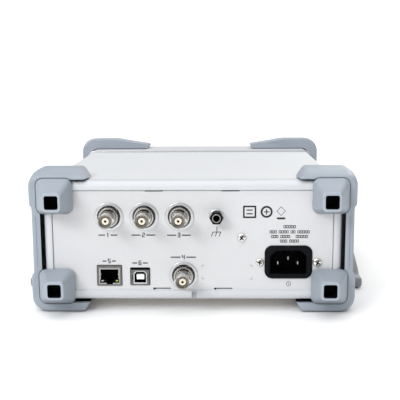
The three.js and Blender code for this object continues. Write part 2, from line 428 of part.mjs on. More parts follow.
// -------------------------------------------------------------------- handle
{
  const dy = GRIP_Y - PIVOT_Y, dz = GRIP_Z - PIVOT_Z, L = Math.hypot(dy, dz), a = Math.atan2(dz, dy);
  const armX0 = 117.2, armX1 = HANDLE_HW;
  // arm outline in its own length/width axes, turned to the folded angle
  const pts = [];
  for (let i = 0; i <= 12; i++) { const t = Math.PI / 2 + Math.PI * i / 12; pts.push([13.5 * Math.cos(t), 13.5 * Math.sin(t)]); }
  pts.push([26, -8.2], [L - 22, -6.6], [L - 6, -5.2], [L - 1, -4.4], [L - 1, 4.4], [L - 6, 5.6], [L - 22, 6.8], [26, 8.2]);
  const turn = (p) => [PIVOT_Y + p[0] * Math.cos(a) - p[1] * Math.sin(a), PIVOT_Z + p[0] * Math.sin(a) + p[1] * Math.cos(a)];
  let arm = solid(alongX(poly(pts.map(turn)), armX0, armX1, 1.2));
  // blind socket for the hub's spindle
  arm = cut(arm, cylX(PIVOT_Y, PIVOT_Z, 5.4, armX0 - 1, armX0 + 8, 20));
  // keep the arm's end clear of the grip
  arm = cut(arm, box(armX0 - 1, armX1 + 1, GRIP_Y - 9.5, GRIP_Y + 14, -2, GRIP_Z + 4.4));
  const grip = solid(alongX(rrect(GRIP_Y - 9, GRIP_Y + 9, GRIP_Z - 3.9, GRIP_Z + 3.9, 3.6, 4), -HANDLE_HW + 0.4, HANDLE_HW - 0.4, 1.6));
  add('handle_arm_right', arm, GREY, 0.6);
  add('handle_arm_left', mirrorX(arm), GREY, 0.6);
  add('handle_grip', grip, GREY, 0.6);
  // fixed hub on each side wall with a spindle for the arm
  let hub = solid(cylX(PIVOT_Y, PIVOT_Z, 13, HALF_W + GAP, armX0 - 0.5, 28));
  hub = hub.add(solid(cylX(PIVOT_Y, PIVOT_Z, 5, armX0 - 1, armX0 + 7.4, 20)));
  add('handle_hub_right', hub, DARKGREY, 0.6);
  add('handle_hub_left', mirrorX(hub), DARKGREY, 0.6);
}

export default part;
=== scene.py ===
import json
import math

import bmesh
import bpy
from mathutils import Matrix, Vector


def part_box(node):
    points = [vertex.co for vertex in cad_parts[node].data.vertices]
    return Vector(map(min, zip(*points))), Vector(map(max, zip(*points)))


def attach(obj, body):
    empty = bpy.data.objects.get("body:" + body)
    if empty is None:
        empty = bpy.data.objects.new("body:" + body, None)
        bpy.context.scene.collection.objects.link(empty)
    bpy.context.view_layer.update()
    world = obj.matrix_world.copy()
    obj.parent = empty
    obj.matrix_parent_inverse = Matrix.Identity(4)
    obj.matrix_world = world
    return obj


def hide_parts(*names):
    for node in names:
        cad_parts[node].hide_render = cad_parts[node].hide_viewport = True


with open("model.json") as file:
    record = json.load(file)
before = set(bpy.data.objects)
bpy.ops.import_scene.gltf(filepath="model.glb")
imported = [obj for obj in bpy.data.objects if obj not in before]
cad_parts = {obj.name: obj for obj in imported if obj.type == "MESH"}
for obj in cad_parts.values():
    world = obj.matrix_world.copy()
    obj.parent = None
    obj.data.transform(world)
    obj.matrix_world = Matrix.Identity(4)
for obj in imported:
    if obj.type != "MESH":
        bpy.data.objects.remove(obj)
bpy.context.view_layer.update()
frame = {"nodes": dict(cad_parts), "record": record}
MM = 0.001
REC = frame["record"]

# --------------------------------------------------------------- camera first
scene = bpy.context.scene
cam_data = bpy.data.cameras.new("camera")
cam = bpy.data.objects.new("camera", cam_data)
scene.collection.objects.link(cam)
scene.camera = cam
cam_data.sensor_width = 36.0
cam_data.lens = 67.14
cam_data.clip_start = 0.01
cam_data.clip_end = 20
right = Vector((-0.999717, -0.023088, -0.005808))
up = Vector((-0.001887, -0.166365, 0.986062))
back = right.cross(up)
rot = Matrix((right, up, back)).transposed().to_4x4()
cam.matrix_world = Matrix.Translation(Vector((-17.589, 625.44, 165.693)) * MM) @ rot

# ------------------------------------------------------- places from the frame
lo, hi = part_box("rear_panel")
RY = hi[1] / MM                                    # rear panel face
PZ0, PZ1, PHW = lo[2] / MM, hi[2] / MM, hi[0] / MM
lo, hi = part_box("top_cover")
HALF_W, CASE_Z1, CASE_Y0, CASE_Y1 = hi[0] / MM, hi[2] / MM, lo[1] / MM, hi[1] / MM
CASE_Z0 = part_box("bottom_cover")[0][2] / MM
lo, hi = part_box("front_housing")
FHW, FZ0, FZ1, FY0, FY1 = hi[0] / MM, lo[2] / MM, hi[2] / MM, lo[1] / MM, hi[1] / MM
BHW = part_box("rear_bumper_right")[1][0] / MM
T_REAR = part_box("rear_bumper_right")[1][2] / MM
T_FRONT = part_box("front_bumper_right")[1][2] / MM
PEG_TIP_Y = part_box("rear_bumper_right")[1][1] / MM


# ------------------------------------------------------------------ materials
def node(nt, kind, **values):
    n = nt.nodes.new(kind)
    for k, v in values.items():
        if hasattr(n, k):
            setattr(n, k, v)
        else:
            n.inputs[k].default_value = v
    return n


def surface(name, color, rough=0.5, metal=0.0, var=0.03, var_scale=60, bump=0.0, bump_scale=900,
            rough_var=0.06, coat=0.0, coat_rough=0.1, spec=0.5, stretch=None, warm=0.0, wear=0.0, sheen=0.0, dust=0.0, under=0.0):
    """Procedural finish: broad tone drift, fine grain in bump, uneven gloss and, where asked, rubbed edges and painted
    shade on faces turned downward.
    """
    m = bpy.data.materials.new(name)
    m.use_nodes = True
    nt = m.node_tree
    nt.nodes.clear()
    out = nt.nodes.new("ShaderNodeOutputMaterial")
    p = nt.nodes.new("ShaderNodeBsdfPrincipled")
    nt.links.new(p.outputs[0], out.inputs[0])
    p.inputs["Metallic"].default_value = metal
    p.inputs["Specular IOR Level"].default_value = spec
    if coat:
        p.inputs["Coat Weight"].default_value = coat
        p.inputs["Coat Roughness"].default_value = coat_rough
    if sheen:
        p.inputs["Sheen Weight"].default_value = sheen
        p.inputs["Sheen Roughness"].default_value = 0.5
    tc = nt.nodes.new("ShaderNodeTexCoord")
    mp = nt.nodes.new("ShaderNodeMapping")
    nt.links.new(tc.outputs["Object"], mp.inputs["Vector"])
    if stretch:
        mp.inputs["Scale"].default_value = stretch
    broad = node(nt, "ShaderNodeTexNoise", Scale=var_scale, Detail=4.0, Roughness=0.55)
    nt.links.new(mp.outputs[0], broad.inputs["Vector"])
    ramp = nt.nodes.new("ShaderNodeValToRGB")
    c = list(color)
    dark = [max(0, v * (1 - var)) for v in c]
    light = [min(1, v * (1 + var) + (warm if i == 0 else 0)) for i, v in enumerate(c)]
    ramp.color_ramp.elements[0].position = 0.3
    ramp.color_ramp.elements[0].color = (*dark, 1)
    ramp.color_ramp.elements[1].position = 0.7
    ramp.color_ramp.elements[1].color = (*light, 1)
    nt.links.new(broad.outputs["Fac"], ramp.inputs["Fac"])
    col = ramp.outputs["Color"]
    if wear:
        geo = nt.nodes.new("ShaderNodeNewGeometry")
        edge = nt.nodes.new("ShaderNodeMapRange")
        edge.inputs["From Min"].default_value = 0.52
        edge.inputs["From Max"].default_value = 0.60
        nt.links.new(geo.outputs["Pointiness"], edge.inputs["Value"])
        mix = nt.nodes.new("ShaderNodeMix")
        mix.data_type = "RGBA"
        mul = node(nt, "ShaderNodeMath", operation="MULTIPLY")
        mul.inputs[1].default_value = wear
        nt.links.new(edge.outputs[0], mul.inputs[0])
        nt.links.new(mul.outputs[0], mix.inputs[0])
        nt.links.new(col, mix.inputs[6])
        mix.inputs[7].default_value = (*[min(1, v * 1.25 + 0.05) for v in c], 1)
        col = mix.outputs[2]
    if under:
        # faces turned downward are made darker, in place of the light they lose near the bench
        g2 = nt.nodes.new("ShaderNodeNewGeometry")
        sp = nt.nodes.new("ShaderNodeSeparateXYZ")
        nt.links.new(g2.outputs["Normal"], sp.inputs[0])
        mr = nt.nodes.new("ShaderNodeMapRange")
        mr.inputs["From Min"].default_value = -0.25
        mr.inputs["From Max"].default_value = -0.9
        mr.inputs["To Min"].default_value = 0.0
        mr.inputs["To Max"].default_value = under
        nt.links.new(sp.outputs["Z"], mr.inputs["Value"])
        mx = nt.nodes.new("ShaderNodeMix")
        mx.data_type = "RGBA"
        nt.links.new(mr.outputs[0], mx.inputs[0])
        nt.links.new(col, mx.inputs[6])
        mx.inputs[7].default_value = (c[0] * 0.12, c[1] * 0.12, c[2] * 0.12, 1)
        col = mx.outputs[2]
    nt.links.new(col, p.inputs["Base Color"])
    rmap = nt.nodes.new("ShaderNodeMapRange")
    rmap.inputs["To Min"].default_value = max(0.02, rough - rough_var)
    rmap.inputs["To Max"].default_value = min(1, rough + rough_var)
    rn = node(nt, "ShaderNodeTexNoise", Scale=var_scale * 3.1, Detail=3.0)
    nt.links.new(mp.outputs[0], rn.inputs["Vector"])
    nt.links.new(rn.outputs["Fac"], rmap.inputs["Value"])
    nt.links.new(rmap.outputs[0], p.inputs["Roughness"])
    if bump:
        fine = node(nt, "ShaderNodeTexNoise", Scale=bump_scale, Detail=3.0, Roughness=0.6)
        nt.links.new(mp.outputs[0], fine.inputs["Vector"])
        b = nt.nodes.new("ShaderNodeBump")
        b.inputs["Strength"].default_value = bump
        b.inputs["Distance"].default_value = 0.0002
        nt.links.new(fine.outputs["Fac"], b.inputs["Height"])
        nt.links.new(b.outputs[0], p.inputs["Normal"])
    return m


def srgb(r, g, b):
    f = lambda v: v / 255 / 12.92 if v / 255 <= 0.04045 else ((v / 255 + 0.055) / 1.055) ** 2.4
    return (f(r), f(g), f(b))


M = {}
M["case"] = surface("case_paint", srgb(206, 208, 210), 0.56, var=0.012, var_scale=25, bump=0.25, bump_scale=1800, rough_var=0.05, spec=0.3)
M["frame"] = surface("frame_plastic", srgb(206, 209, 213), 0.36, var=0.01, var_scale=30, bump=0.12, bump_scale=2600)
M["panel"] = surface("panel_paint", srgb(210, 211, 213), 0.33, var=0.012, var_scale=14, bump=0.12, bump_scale=2200, stretch=(1, 1, 2.4), spec=0.6)
# under: painted shade, darkening the rubber's faces turned downward
M["rubber"] = surface("bumper_rubber", srgb(151, 160, 170), 0.5, var=0.035, var_scale=45, bump=0.35, bump_scale=1500, rough_var=0.07, wear=0.35, sheen=0.05, under=0.42)
# near-black rubber for the hole walls and the faces hidden against the case: painted shade
M["recess"] = surface("rubber_painted_shade", srgb(15, 17, 22), 0.6, var=0.1, var_scale=200, bump=0.2, spec=0.12)
M["chrome"] = surface("nickel_plate", (0.76, 0.745, 0.71), 0.16, 1.0, var=0.05, var_scale=220, bump=0.06, bump_scale=3000, rough_var=0.07)
# darker nickel: painted shade on the thread's roots and back flanks; also the lining ring of the earth socket
M["nickel_dark"] = surface("nickel_dark_and_thread_shade", (0.34, 0.32, 0.29), 0.26, 1.0, var=0.08, var_scale=260, bump=0.08, bump_scale=2500)
# a darker copy of the nickel for the nut's end face: painted shade for its dark reflections
M["shaded_nut_end"] = surface("nut_end_painted_shade", (0.44, 0.42, 0.40), 0.24, 1.0, var=0.06, var_scale=260, bump=0.06, bump_scale=2500)
M["washer"] = surface("washer_plate", (0.60, 0.615, 0.63), 0.34, 1.0, var=0.03, var_scale=180, bump=0.08, bump_scale=2200)
M["shell"] = surface("connector_shell", (0.165, 0.162, 0.156), 0.32, 1.0, var=0.06, var_scale=300, bump=0.1, bump_scale=2400)
M["cream"] = surface("insulator", srgb(255, 243, 226), 0.45, var=0.03, var_scale=400, bump=0.05)
M["barrel"] = surface("barrel_nickel", (0.27, 0.258, 0.235), 0.24, 1.0, var=0.08, var_scale=260, bump=0.06, bump_scale=2600)
# near-black for the nut's chamfer, the flat under the nut and the ring between nut and washer: painted shade and
# painted dark reflection
M["nut_shade_black"] = surface("nut_painted_shade", (0.05, 0.048, 0.045), 0.3, 1.0, var=0.1, var_scale=260, bump=0.08)
M["warm"] = surface("plated_contact", (0.30, 0.24, 0.16), 0.3, 1.0, var=0.1, var_scale=600)
M["lockgrey"] = surface("lock_insert", srgb(176, 179, 184), 0.45, var=0.05, var_scale=200)
M["shell2"] = surface("connector_border", (0.40, 0.395, 0.385), 0.32, 1.0, var=0.06, var_scale=300, bump=0.1)
M["gold"] = surface("contact_gold", (0.50, 0.36, 0.17), 0.3, 1.0, var=0.1, var_scale=600)
M["pin"] = surface("contact_plate", (0.40, 0.39, 0.37), 0.3, 1.0, var=0.05, var_scale=500, bump=0.05)
M["black"] = surface("black_plastic", srgb(12, 13, 17), 0.4, var=0.08, var_scale=120, bump=0.18, bump_scale=2200, spec=0.09)
# black for the plastic inside the sockets, and painted shade on the walls of holes, bores, slits and cross recesses
M["inner_black_and_shade"] = surface("inner_black_and_painted_shade", srgb(6, 6, 8), 0.6, var=0.1, var_scale=150, bump=0.1, spec=0.06)
M["ink"] = surface("panel_ink", srgb(24, 25, 28), 0.6, var=0.12, var_scale=700, bump=0.05)
M["ivory"] = surface("tongue_plastic", srgb(250, 252, 252), 0.4, var=0.02, var_scale=400, bump=0.05)
M["handle"] = surface("handle_plastic", srgb(126, 131, 135), 0.46, var=0.035, var_scale=50, bump=0.3, bump_scale=1700, wear=0.2)
M["hub"] = surface("hub_plastic", srgb(92, 97, 103), 0.45, var=0.04, var_scale=80, bump=0.25, bump_scale=1700, wear=0.2)
M["front"] = surface("front_plastic", srgb(210, 214, 219), 0.42, var=0.015, var_scale=30, bump=0.18, bump_scale=2400)
M["key"] = surface("key_rubber", srgb(188, 196, 205), 0.58, var=0.03, var_scale=160, bump=0.3, bump_scale=2600)
M["keydark"] = surface("key_rubber_dark", srgb(112, 122, 134), 0.58, var=0.03, var_scale=160, bump=0.3, bump_scale=2600)
M["knob"] = surface("knob_plastic", srgb(150, 160, 172), 0.42, var=0.03, var_scale=120, bump=0.2, bump_scale=2400, wear=0.2)
M["led"] = surface("indicator_lens", srgb(186, 205, 96), 0.25, var=0.05, var_scale=500, coat=0.5)
M["ledw"] = surface("indicator_lens_clear", srgb(202, 214, 214), 0.25, var=0.05, var_scale=500, coat=0.5)
M["window"] = surface("display_glass", srgb(14, 17, 24), 0.09, var=0.05, var_scale=12, rough_var=0.03, coat=0.6, coat_rough=0.04)
M["board"] = surface("circuit_board", srgb(32, 92, 60), 0.5, var=0.12, var_scale=300, bump=0.2)
M["metalplain"] = surface("sheet_metal", (0.62, 0.63, 0.64), 0.35, 1.0, var=0.04, var_scale=90, bump=0.15, stretch=(1, 8, 1))


# ---------------------------------------------------------------- mesh tools
def make(name, bm, mats, body="instrument", replaces=(), bevel=0.0, seg=2, angle=32, wn=True, sharp=38):
    bmesh.ops.remove_doubles(bm, verts=bm.verts, dist=1e-7)
    bmesh.ops.recalc_face_normals(bm, faces=bm.faces)
    me = bpy.data.meshes.new(name)
    bm.to_mesh(me)
    bm.free()
    ob = bpy.data.objects.new(name, me)
    scene.collection.objects.link(ob)
    for m in mats if isinstance(mats, (list, tuple)) else [mats]:
        me.materials.append(M[m])
    for f in me.polygons:
        f.use_smooth = True
    if bevel:
        b = ob.modifiers.new("bevel", "BEVEL")
        b.width = bevel * MM
        b.segments = seg
        b.limit_method = "ANGLE"
        b.angle_limit = math.radians(angle)
        b.miter_outer = "MITER_ARC"
        b.harden_normals = False
        b.use_clamp_overlap = True
    else:
        me.set_sharp_from_angle(angle=math.radians(sharp))
    if wn and bevel:
        w = ob.modifiers.new("normals", "WEIGHTED_NORMAL")
        w.keep_sharp = False
        w.weight = 80
    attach(ob, body)
    if replaces:
        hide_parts(*replaces)
    return ob


def rr(x0, x1, z0, z1, r, seg=6):
    """Rounded rectangle outline, counter-clockwise in the x, z plane."""
    pts = []
    for cx, cz, a0 in ((x1 - r, z0 + r, -90), (x1 - r, z1 - r, 0), (x0 + r, z1 - r, 90), (x0 + r, z0 + r, 180)):
        for i in range(seg + 1):
            a = math.radians(a0 + 90 * i / seg)
            pts.append((cx + r * math.cos(a), cz + r * math.sin(a)))
    return pts


def arc(cx, cz, r, a0, a1, n):
    return [(cx + r * math.cos(math.radians(a0 + (a1 - a0) * i / n)), cz + r * math.sin(math.radians(a0 + (a1 - a0) * i / n))) for i in range(n + 1)]


def circ(cx, cz, r, n=48, a0=0.0):
    return [(cx + r * math.cos(a0 + 2 * math.pi * i / n), cz + r * math.sin(a0 + 2 * math.pi * i / n)) for i in range(n)]


def at_y(pts, y):
    return [Vector((p[0], y, p[1])) * MM for p in pts]


def at_x(pts, x):
    return [Vector((x, p[0], p[1])) * MM for p in pts]


def at_z(pts, z):
    return [Vector((p[0], p[1], z)) * MM for p in pts]


def loft(bm, rings, loop=False, cap0=True, cap1=True, mat=0, mats=None):
    """Skin between rings of equal count; mats gives the material of each band."""
    vs = [[bm.verts.new(p) for p in r] for r in rings]
    n = len(rings[0])
    last = len(vs) if loop else len(vs) - 1
    for k in range(last):
        a, b = vs[k], vs[(k + 1) % len(vs)]
        for i in range(n):
            j = (i + 1) % n
            f = bm.faces.new((a[i], a[j], b[j], b[i]))
            f.material_index = mats[k] if mats else mat
    if not loop:
        if cap0:
            f = bm.faces.new(vs[0]); f.material_index = mats[0] if mats else mat
        if cap1:
            f = bm.faces.new(vs[-1]); f.material_index = mats[-1] if mats else mat
    return vs


def prism(bm, rings2, mat=0):
    return loft(bm, rings2, mat=mat)


def lathe(bm, profile, x, z, y=0.0, d=1, n=48, mats=None, mat=0):
    """Revolve [radius, distance, ...] pairs about an axis along Y. A radius of 0 closes the end."""
    rings = []
    for r, h in profile:
        rings.append((r, h))
    prev = None
    for k, (r, h) in enumerate(rings):
        yy = y + d * h
        cur = [bm.verts.new(Vector((x, yy, z)) * MM)] if r < 1e-6 else [bm.verts.new(p) for p in at_y(circ(x, z, r, n), yy)]
        if prev is not None:
            mi = mats[k - 1] if mats else mat
            if len(prev) == 1 and len(cur) > 1:
                for i in range(n):
                    f = bm.faces.new((prev[0], cur[i], cur[(i + 1) % n])); f.material_index = mi
            elif len(cur) == 1 and len(prev) > 1:
                for i in range(n):
                    f = bm.faces.new((cur[0], prev[(i + 1) % n], prev[i])); f.material_index = mi
            elif len(cur) > 1:
                for i in range(n):
                    f = bm.faces.new((prev[i], prev[(i + 1) % n], cur[(i + 1) % n], cur[i])); f.material_index = mi
        prev = cur


def bake(ob):
    """Applies the object's modifiers to its mesh."""
    dg = bpy.context.evaluated_depsgraph_get()
    me = bpy.data.meshes.new_from_object(ob.evaluated_get(dg))
    old = ob.data
    ob.modifiers.clear()
    ob.data = me
    bpy.data.meshes.remove(old)
    return ob


def temp(name, bm, mats=("black",)):
    bmesh.ops.recalc_face_normals(bm, faces=bm.faces)
    me = bpy.data.meshes.new(name)
    bm.to_mesh(me)
    bm.free()
    for m in mats:
        me.materials.append(M[m])
    ob = bpy.data.objects.new(name, me)
    scene.collection.objects.link(ob)
    return ob


def boolean(ob, other, op="DIFFERENCE", solver="EXACT"):
    b = ob.modifiers.new("bool", "BOOLEAN")
    b.operation = op
    b.solver = solver
    b.object = other
    if hasattr(b, "material_mode"):
        b.material_mode = "TRANSFER"
    bake(ob)
    bpy.data.objects.remove(other)
    return ob


def key_of(matname):
    for k, v in M.items():
        if v.name == matname:
            return k
    return "black"


def to_bm(ob):
    """Takes a temporary object's mesh as a bmesh and removes the object."""
    bm = bmesh.new()
    bm.from_mesh(ob.data)
    mats = [key_of(m.name) for m in ob.data.materials if m]
    bpy.data.objects.remove(ob)
    return bm, mats


def mirror(bm):
    bmesh.ops.scale(bm, vec=(-1, 1, 1), verts=bm.verts)
    bmesh.ops.reverse_faces(bm, faces=bm.faces)


# ------------------------------------------------------------- rear bumpers
def c_outline(T, side, z0, hw_in, z_in0, z_in1, r_top, r_bot, r_in, top_in, top_out, bot_in, bot_out, step=1.65, lower=(27.5, 75.5)):
    """C-shaped section of a corner bumper, drawn for +X, always the same number of points."""
    k = (T - z_in1)
    pts = [(top_in, z_in1), (top_in + 0.15 * (top_out - top_in), z_in1 + 0.25 * k), (top_in + 0.62 * (top_out - top_in), z_in1 + 0.72 * k),
           (top_in + 0.9 * (top_out - top_in), T - 0.1 * k), (top_out + 0.6, T - 0.02), (top_out + 3, T)]
    pts += arc(side - r_top, T - r_top, r_top, 90, 0, 14)
    if step:
        pts += [(side, lower[1] + 2.2), (side - step * 0.15, lower[1] + 1.1), (side - step * 0.85, lower[1] - 0.6), (side - step, lower[1] - 1.8),
                (side - step, 51), (side - step, lower[0] + 1.8), (side - step * 0.85, lower[0] + 0.6), (side - step * 0.15, lower[0] - 1.1), (side, lower[0] - 2.2)]
    else:
        pts += [(side, 51)]
    pts += arc(side - r_bot, z0 + r_bot, r_bot, 0, -90, 14)
    b = z_in0 - z0
    pts += [(bot_out + 3, z0), (bot_out + 0.6, z0 + 0.02), (bot_in + 0.85 * (bot_out - bot_in), z0 + 0.1 * b), (bot_in + 0.5 * (bot_out - bot_in), z0 + 0.4 * b), (bot_in, z_in0)]
    pts += arc(hw_in - r_in, z_in0 + r_in, r_in, -90, 0, 8)
    pts += arc(hw_in - r_in, z_in1 - r_in, r_in, 0, 90, 8)
    return pts


BZI0, BZI1, BIN = CASE_Z0 - 0.3, CASE_Z1 + 0.3, 107.4


def rear_wrap(bm):
    stations = []
    # distance from the panel plane, drop of top, of side, of bottom, pull-back of the arm tips
    for y, dt, ds, db, pull in ((-34.5, 1.5, 1.4, 1.3, 4.2), (-34.35, 1.0, 0.95, 0.85, 3.7), (-33.9, 0.5, 0.45, 0.4, 3.2), (-33.1, 0.15, 0.12, 0.1, 2.7), (-31.8, 0, 0, 0, 2.2), (-28, 0, 0, 0, 1.2), (-24, 0, 0, 0, 0.6),
                                (-19, 0.0, 0, 0, 0.15), (-14.5, 0.06, 0, 0, 0), (-12, 0.32, 0, 0, 0), (-9.5, 0.8, 0, 0, 0), (-6.5, 1.5, 0.02, 0, 0), (-4, 2.15, 0.1, 0.03, 0), (-1.8, 2.8, 0.28, 0.15, 0.3), (-0.3, 3.3, 0.55, 0.42, 0.7),
                                (0.8, 3.85, 1.0, 0.9, 1.0), (1.35, 4.35, 1.5, 1.45, 1.3), (1.6, 4.95, 2.2, 2.2, 1.8)):
        T = T_REAR - dt
        side = BHW + 0.3 - ds
        zt, zb = BZI1, BZI0
        if y > -13:
            zt += min(1.0, (y + 13) * 0.16)
            zb -= min(2.1, (y + 13) * 0.2)
        top_in = 73.2 + pull + max(0.0, (zt - BZI1)) * 0.4
        top_out = 73.2 + pull * 0.55 + 5.6 * (T - BZI1) / (T_REAR - BZI1)
        bot_in, bot_out = 72.6 + pull * 0.8, 72.6 + pull * 0.8 + 4.0 * (BZI0 - db) / BZI0
        hw = BIN if y < -4 else 105.7
        stations.append(at_y(c_outline(T, side, db, hw, zb, zt, 7.7 - dt * 0.08, 10.8 - db * 0.2, 6, top_in, top_out, bot_in, bot_out), RY + y))
    loft(bm, stations)


def foot_rings(cx, cz, w, h, r, tx, tz, tip=13.2):
    out = []
    for fx, fz, fw, fh, fr, y in ((cx, cz, w, h, r, RY - 1.0), (cx, cz, w, h, r, RY + 2.4), (cx, cz, w - 0.25, h - 0.25, r - 0.1, RY + 2.9), (cx - 0.02, cz, w - 0.9, h - 0.9, r - 0.3, RY + 3.4)):
        out.append(at_y(rr(fx - fw / 2, fx + fw / 2, fz - fh / 2, fz + fh / 2, fr, 5), y))
    y0, y1 = RY + 3.4, PEG_TIP_Y - 1.3
    for k in (0.5, 1.0):
        fx, fz = cx + (tx - cx) * k, cz + (tz - cz) * k
        fw, fh = (w - 0.9) + (tip - w + 0.9) * k, (h - 0.9) + (tip - h + 0.9) * k
        fr = (r - 0.3) + (2.9 - r + 0.3) * k
        out.append(at_y(rr(fx - fw / 2, fx + fw / 2, fz - fh / 2, fz + fh / 2, fr, 5), y0 + (y1 - y0) * k))
    for s, y in ((-0.25, -0.75), (-0.8, -0.25), (-1.7, 0.0)):
        out.append(at_y(rr(tx - (tip + s) / 2, tx + (tip + s) / 2, tz - (tip + s) / 2, tz + (tip + s) / 2, 2.9 + s * 0.4, 5), PEG_TIP_Y + y))
    return out


FEET = ((95.15, 83.1, 25.1, 24.6, 93.2, 82.0), (95.15, 19.2, 25.1, 24.6, 93.2, 21.3))
# a lighter copy of the bumper rubber for the tips of the feet: painted highlight
M["tip_highlight"] = surface("bumper_tip_painted_highlight", srgb(162, 171, 181), 0.46, var=0.03, var_scale=90, bump=0.3, bump_scale=1500, rough_var=0.06)


def rear_bumper():
    bm = bmesh.new()
    rear_wrap(bm)
    wrap = temp("wrap", bm, ("rubber", "recess"))
    for cx, cz, w, h, tx, tz in FEET:
        up_ = cz > 50
        # recess around the foot's base
        bm = bmesh.new()
        loft(bm, [at_y(rr(cx - w / 2 - 0.7, cx + w / 2 + 0.75, cz - h / 2 - (0.7 if up_ else 0.8), cz + h / 2 + (0.8 if up_ else 0.7), 5.6, 6), y) for y in (RY + 0.55, RY + 6)])
        boolean(wrap, temp("recess", bm, ("rubber",)))
        bm = bmesh.new()
        rings = foot_rings(cx, cz, w, h, 4.7, tx, tz)
        nb = len(rings) - 1
        # the rounded edge and the face of each tip take the lighter rubber: painted highlight
        loft(bm, rings, mats=[0] * (nb - 3) + [1] * 3 + [1])
        foot = temp("foot", bm, ("rubber", "tip_highlight"))
        # clear of the frame and panel behind it
        bm = bmesh.new()
        loft(bm, [at_y(rr(-104.2, 104.2, BZI0 + 0.1, BZI1 - 0.1, 6, 6), y) for y in (RY - 4, RY + 1.3)])
        boolean(foot, temp("clear", bm, ("rubber",)))
        # square hole in the tip, its walls in near-black rubber: painted shade
        bm = bmesh.new()
        loft(bm, [at_y(rr(tx - 4.62, tx + 4.62, tz - 4.62, tz + 4.62, 1.4, 4), y) for y in (PEG_TIP_Y - 15, PEG_TIP_Y + 3)])
        boolean(foot, temp("hole", bm, ("recess",)))
        boolean(wrap, foot, "UNION")
    # thin line down the side wall between the feet
    bm = bmesh.new()
    loft(bm, [at_x([(RY + 1.25, 33.5), (RY + 4, 33.5), (RY + 4, 69), (RY + 1.25, 69)], x) for x in (108.5, 108.85)])
    boolean(wrap, temp("line", bm, ("rubber",)))
    bm, mats = to_bm(wrap)
    # painted shade: the faces inside the C against the case, and the upward faces of the lower arm under it, take the
    # near-black rubber
    dark = mats.index("recess")
    for f in bm.faces:
        c = f.calc_center_median() / MM
        if abs(f.normal.y) < 0.7 and c.x < BIN + 0.05 and BZI0 - 0.2 < c.z < BZI1 + 0.2 and c.y < RY + 1.4:
            f.material_index = dark
        if f.normal.z > 0.8 and BZI0 - 2.6 < c.z < BZI0 + 0.3 and c.x < BIN and c.y < RY - 1.5:
            f.material_index = dark
    return bm, mats


bm, mats = rear_bumper()
bm2 = bm.copy()
make("rear_bumper_skin_right", bm, mats, replaces=["rear_bumper_right"], bevel=0.45, seg=2, angle=34)
mirror(bm2)
make("rear_bumper_skin_left", bm2, mats, replaces=["rear_bumper_left"], bevel=0.45, seg=2, angle=34)


# ------------------------------------------------------------ front bumpers
def front_bumper():
    bm = bmesh.new()
    y1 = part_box("front_bumper_right")[1][1] / MM
    y0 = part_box("front_bumper_right")[0][1] / MM
    zi0, zi1 = FZ0 - 0.4, FZ1 + 0.6
    rings = []
    for y, d in ((y1, 2.2), (y1 - 0.15, 1.5), (y1 - 0.7, 0.75), (y1 - 1.7, 0.25), (y1 - 3.3, 0), (y1 - 14, 0), (y0 + 12, 0), (y0 + 7, 0.3), (y0 + 4, 0.95), (y0 + 2, 1.9), (y0 + 0.7, 3.0), (y0, 4.4)):
        tp = 0.072 * (y1 - y)
        T = T_FRONT - d - tp
        side = BHW - d * 0.9
        z0 = d * 0.8
        pts = [(50.2, zi1), (50.0, zi1 + 0.45 * (99.8 - d * 0.45 - tp * 0.8 - zi1)), (50.4, 99.4 - d * 0.5 - tp * 0.8), (52.0, 100.1 - d * 0.55 - tp * 0.9), (66, 102.4 - d * 0.8 - tp), (79, T - 0.28), (83.5, T)]
        pts += arc(side - 13, T - 13, 13, 90, 0, 14)
        pts += [(side, 76), (side - 0.15, 74.5), (side - 1.0, 72.8), (side - 1.2, 71.5), (side - 1.2, 51), (side - 1.2, 31), (side - 1.0, 29.7), (side - 0.15, 28), (side, 26.5)]
        pts += arc(side - 11.2, z0 + 11.2, 11.2, 0, -90, 14)
        pts += [(76, z0), (72, z0 + 0.25), (54, 3.2 + z0 * 0.6), (51.0, 3.9 + z0 * 0.6), (50, zi0 - 0.5 * (zi0 - 4.4)), (50.2, zi0)]
        pts += arc(105.2 - 7, zi0 + 7, 7, -90, 0, 8)
        pts += arc(105.2 - 7, zi1 - 7, 7, 0, 90, 8)
        rings.append(at_y(pts, y))
    loft(bm, rings)
    wrap = temp("fwrap", bm, ("rubber", "recess"))
    # lip that hooks over the front edge of the housing
    lip2 = [(91.5, 87.5), (91.5, 97), (100, 97.5), (108.5, 90), (111, 81), (111, 22), (108.5, 13), (100, 5.8), (91.5, 6.2), (91.5, 15.8)]
    lip2 += [(95, 18), (98.6, 23.5), (101.2, 33), (101.2, 70), (98.6, 80), (95, 85.5)]
    bm = bmesh.new()
    loft(bm, [at_y(lip2, y) for y in (y0 + 0.25, y0 + 1.4, FY0 - 0.4)])
    lip = temp("lip", bm, ("rubber", "recess"))
    b = lip.modifiers.new("b", "BEVEL"); b.width = 0.9 * MM; b.segments = 2; b.limit_method = "ANGLE"; b.angle_limit = math.radians(50)
    bake(lip)
    boolean(wrap, lip, "UNION")
    # three grip grooves over the top
    for k in range(3):
        bm = bmesh.new()
        yy = y1 - 9 - k * 5
        loft(bm, [at_y(rr(86, 99, T_FRONT - 0.8, T_FRONT + 2, 0.39, 3), v) for v in (yy - 0.9, yy + 0.9)])
        boolean(wrap, temp("groove", bm, ("rubber",)))
    return to_bm(wrap)


bm, mats = front_bumper()
bm2 = bm.copy()
make("front_bumper_skin_right", bm, mats, replaces=["front_bumper_right"], bevel=0.5, seg=2, angle=34)
mirror(bm2)
make("front_bumper_skin_left", bm2, mats, replaces=["front_bumper_left"], bevel=0.5, seg=2, angle=34)

# ---------------------------------------------------------------------- case
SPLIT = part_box("bottom_cover")[1][2] / MM


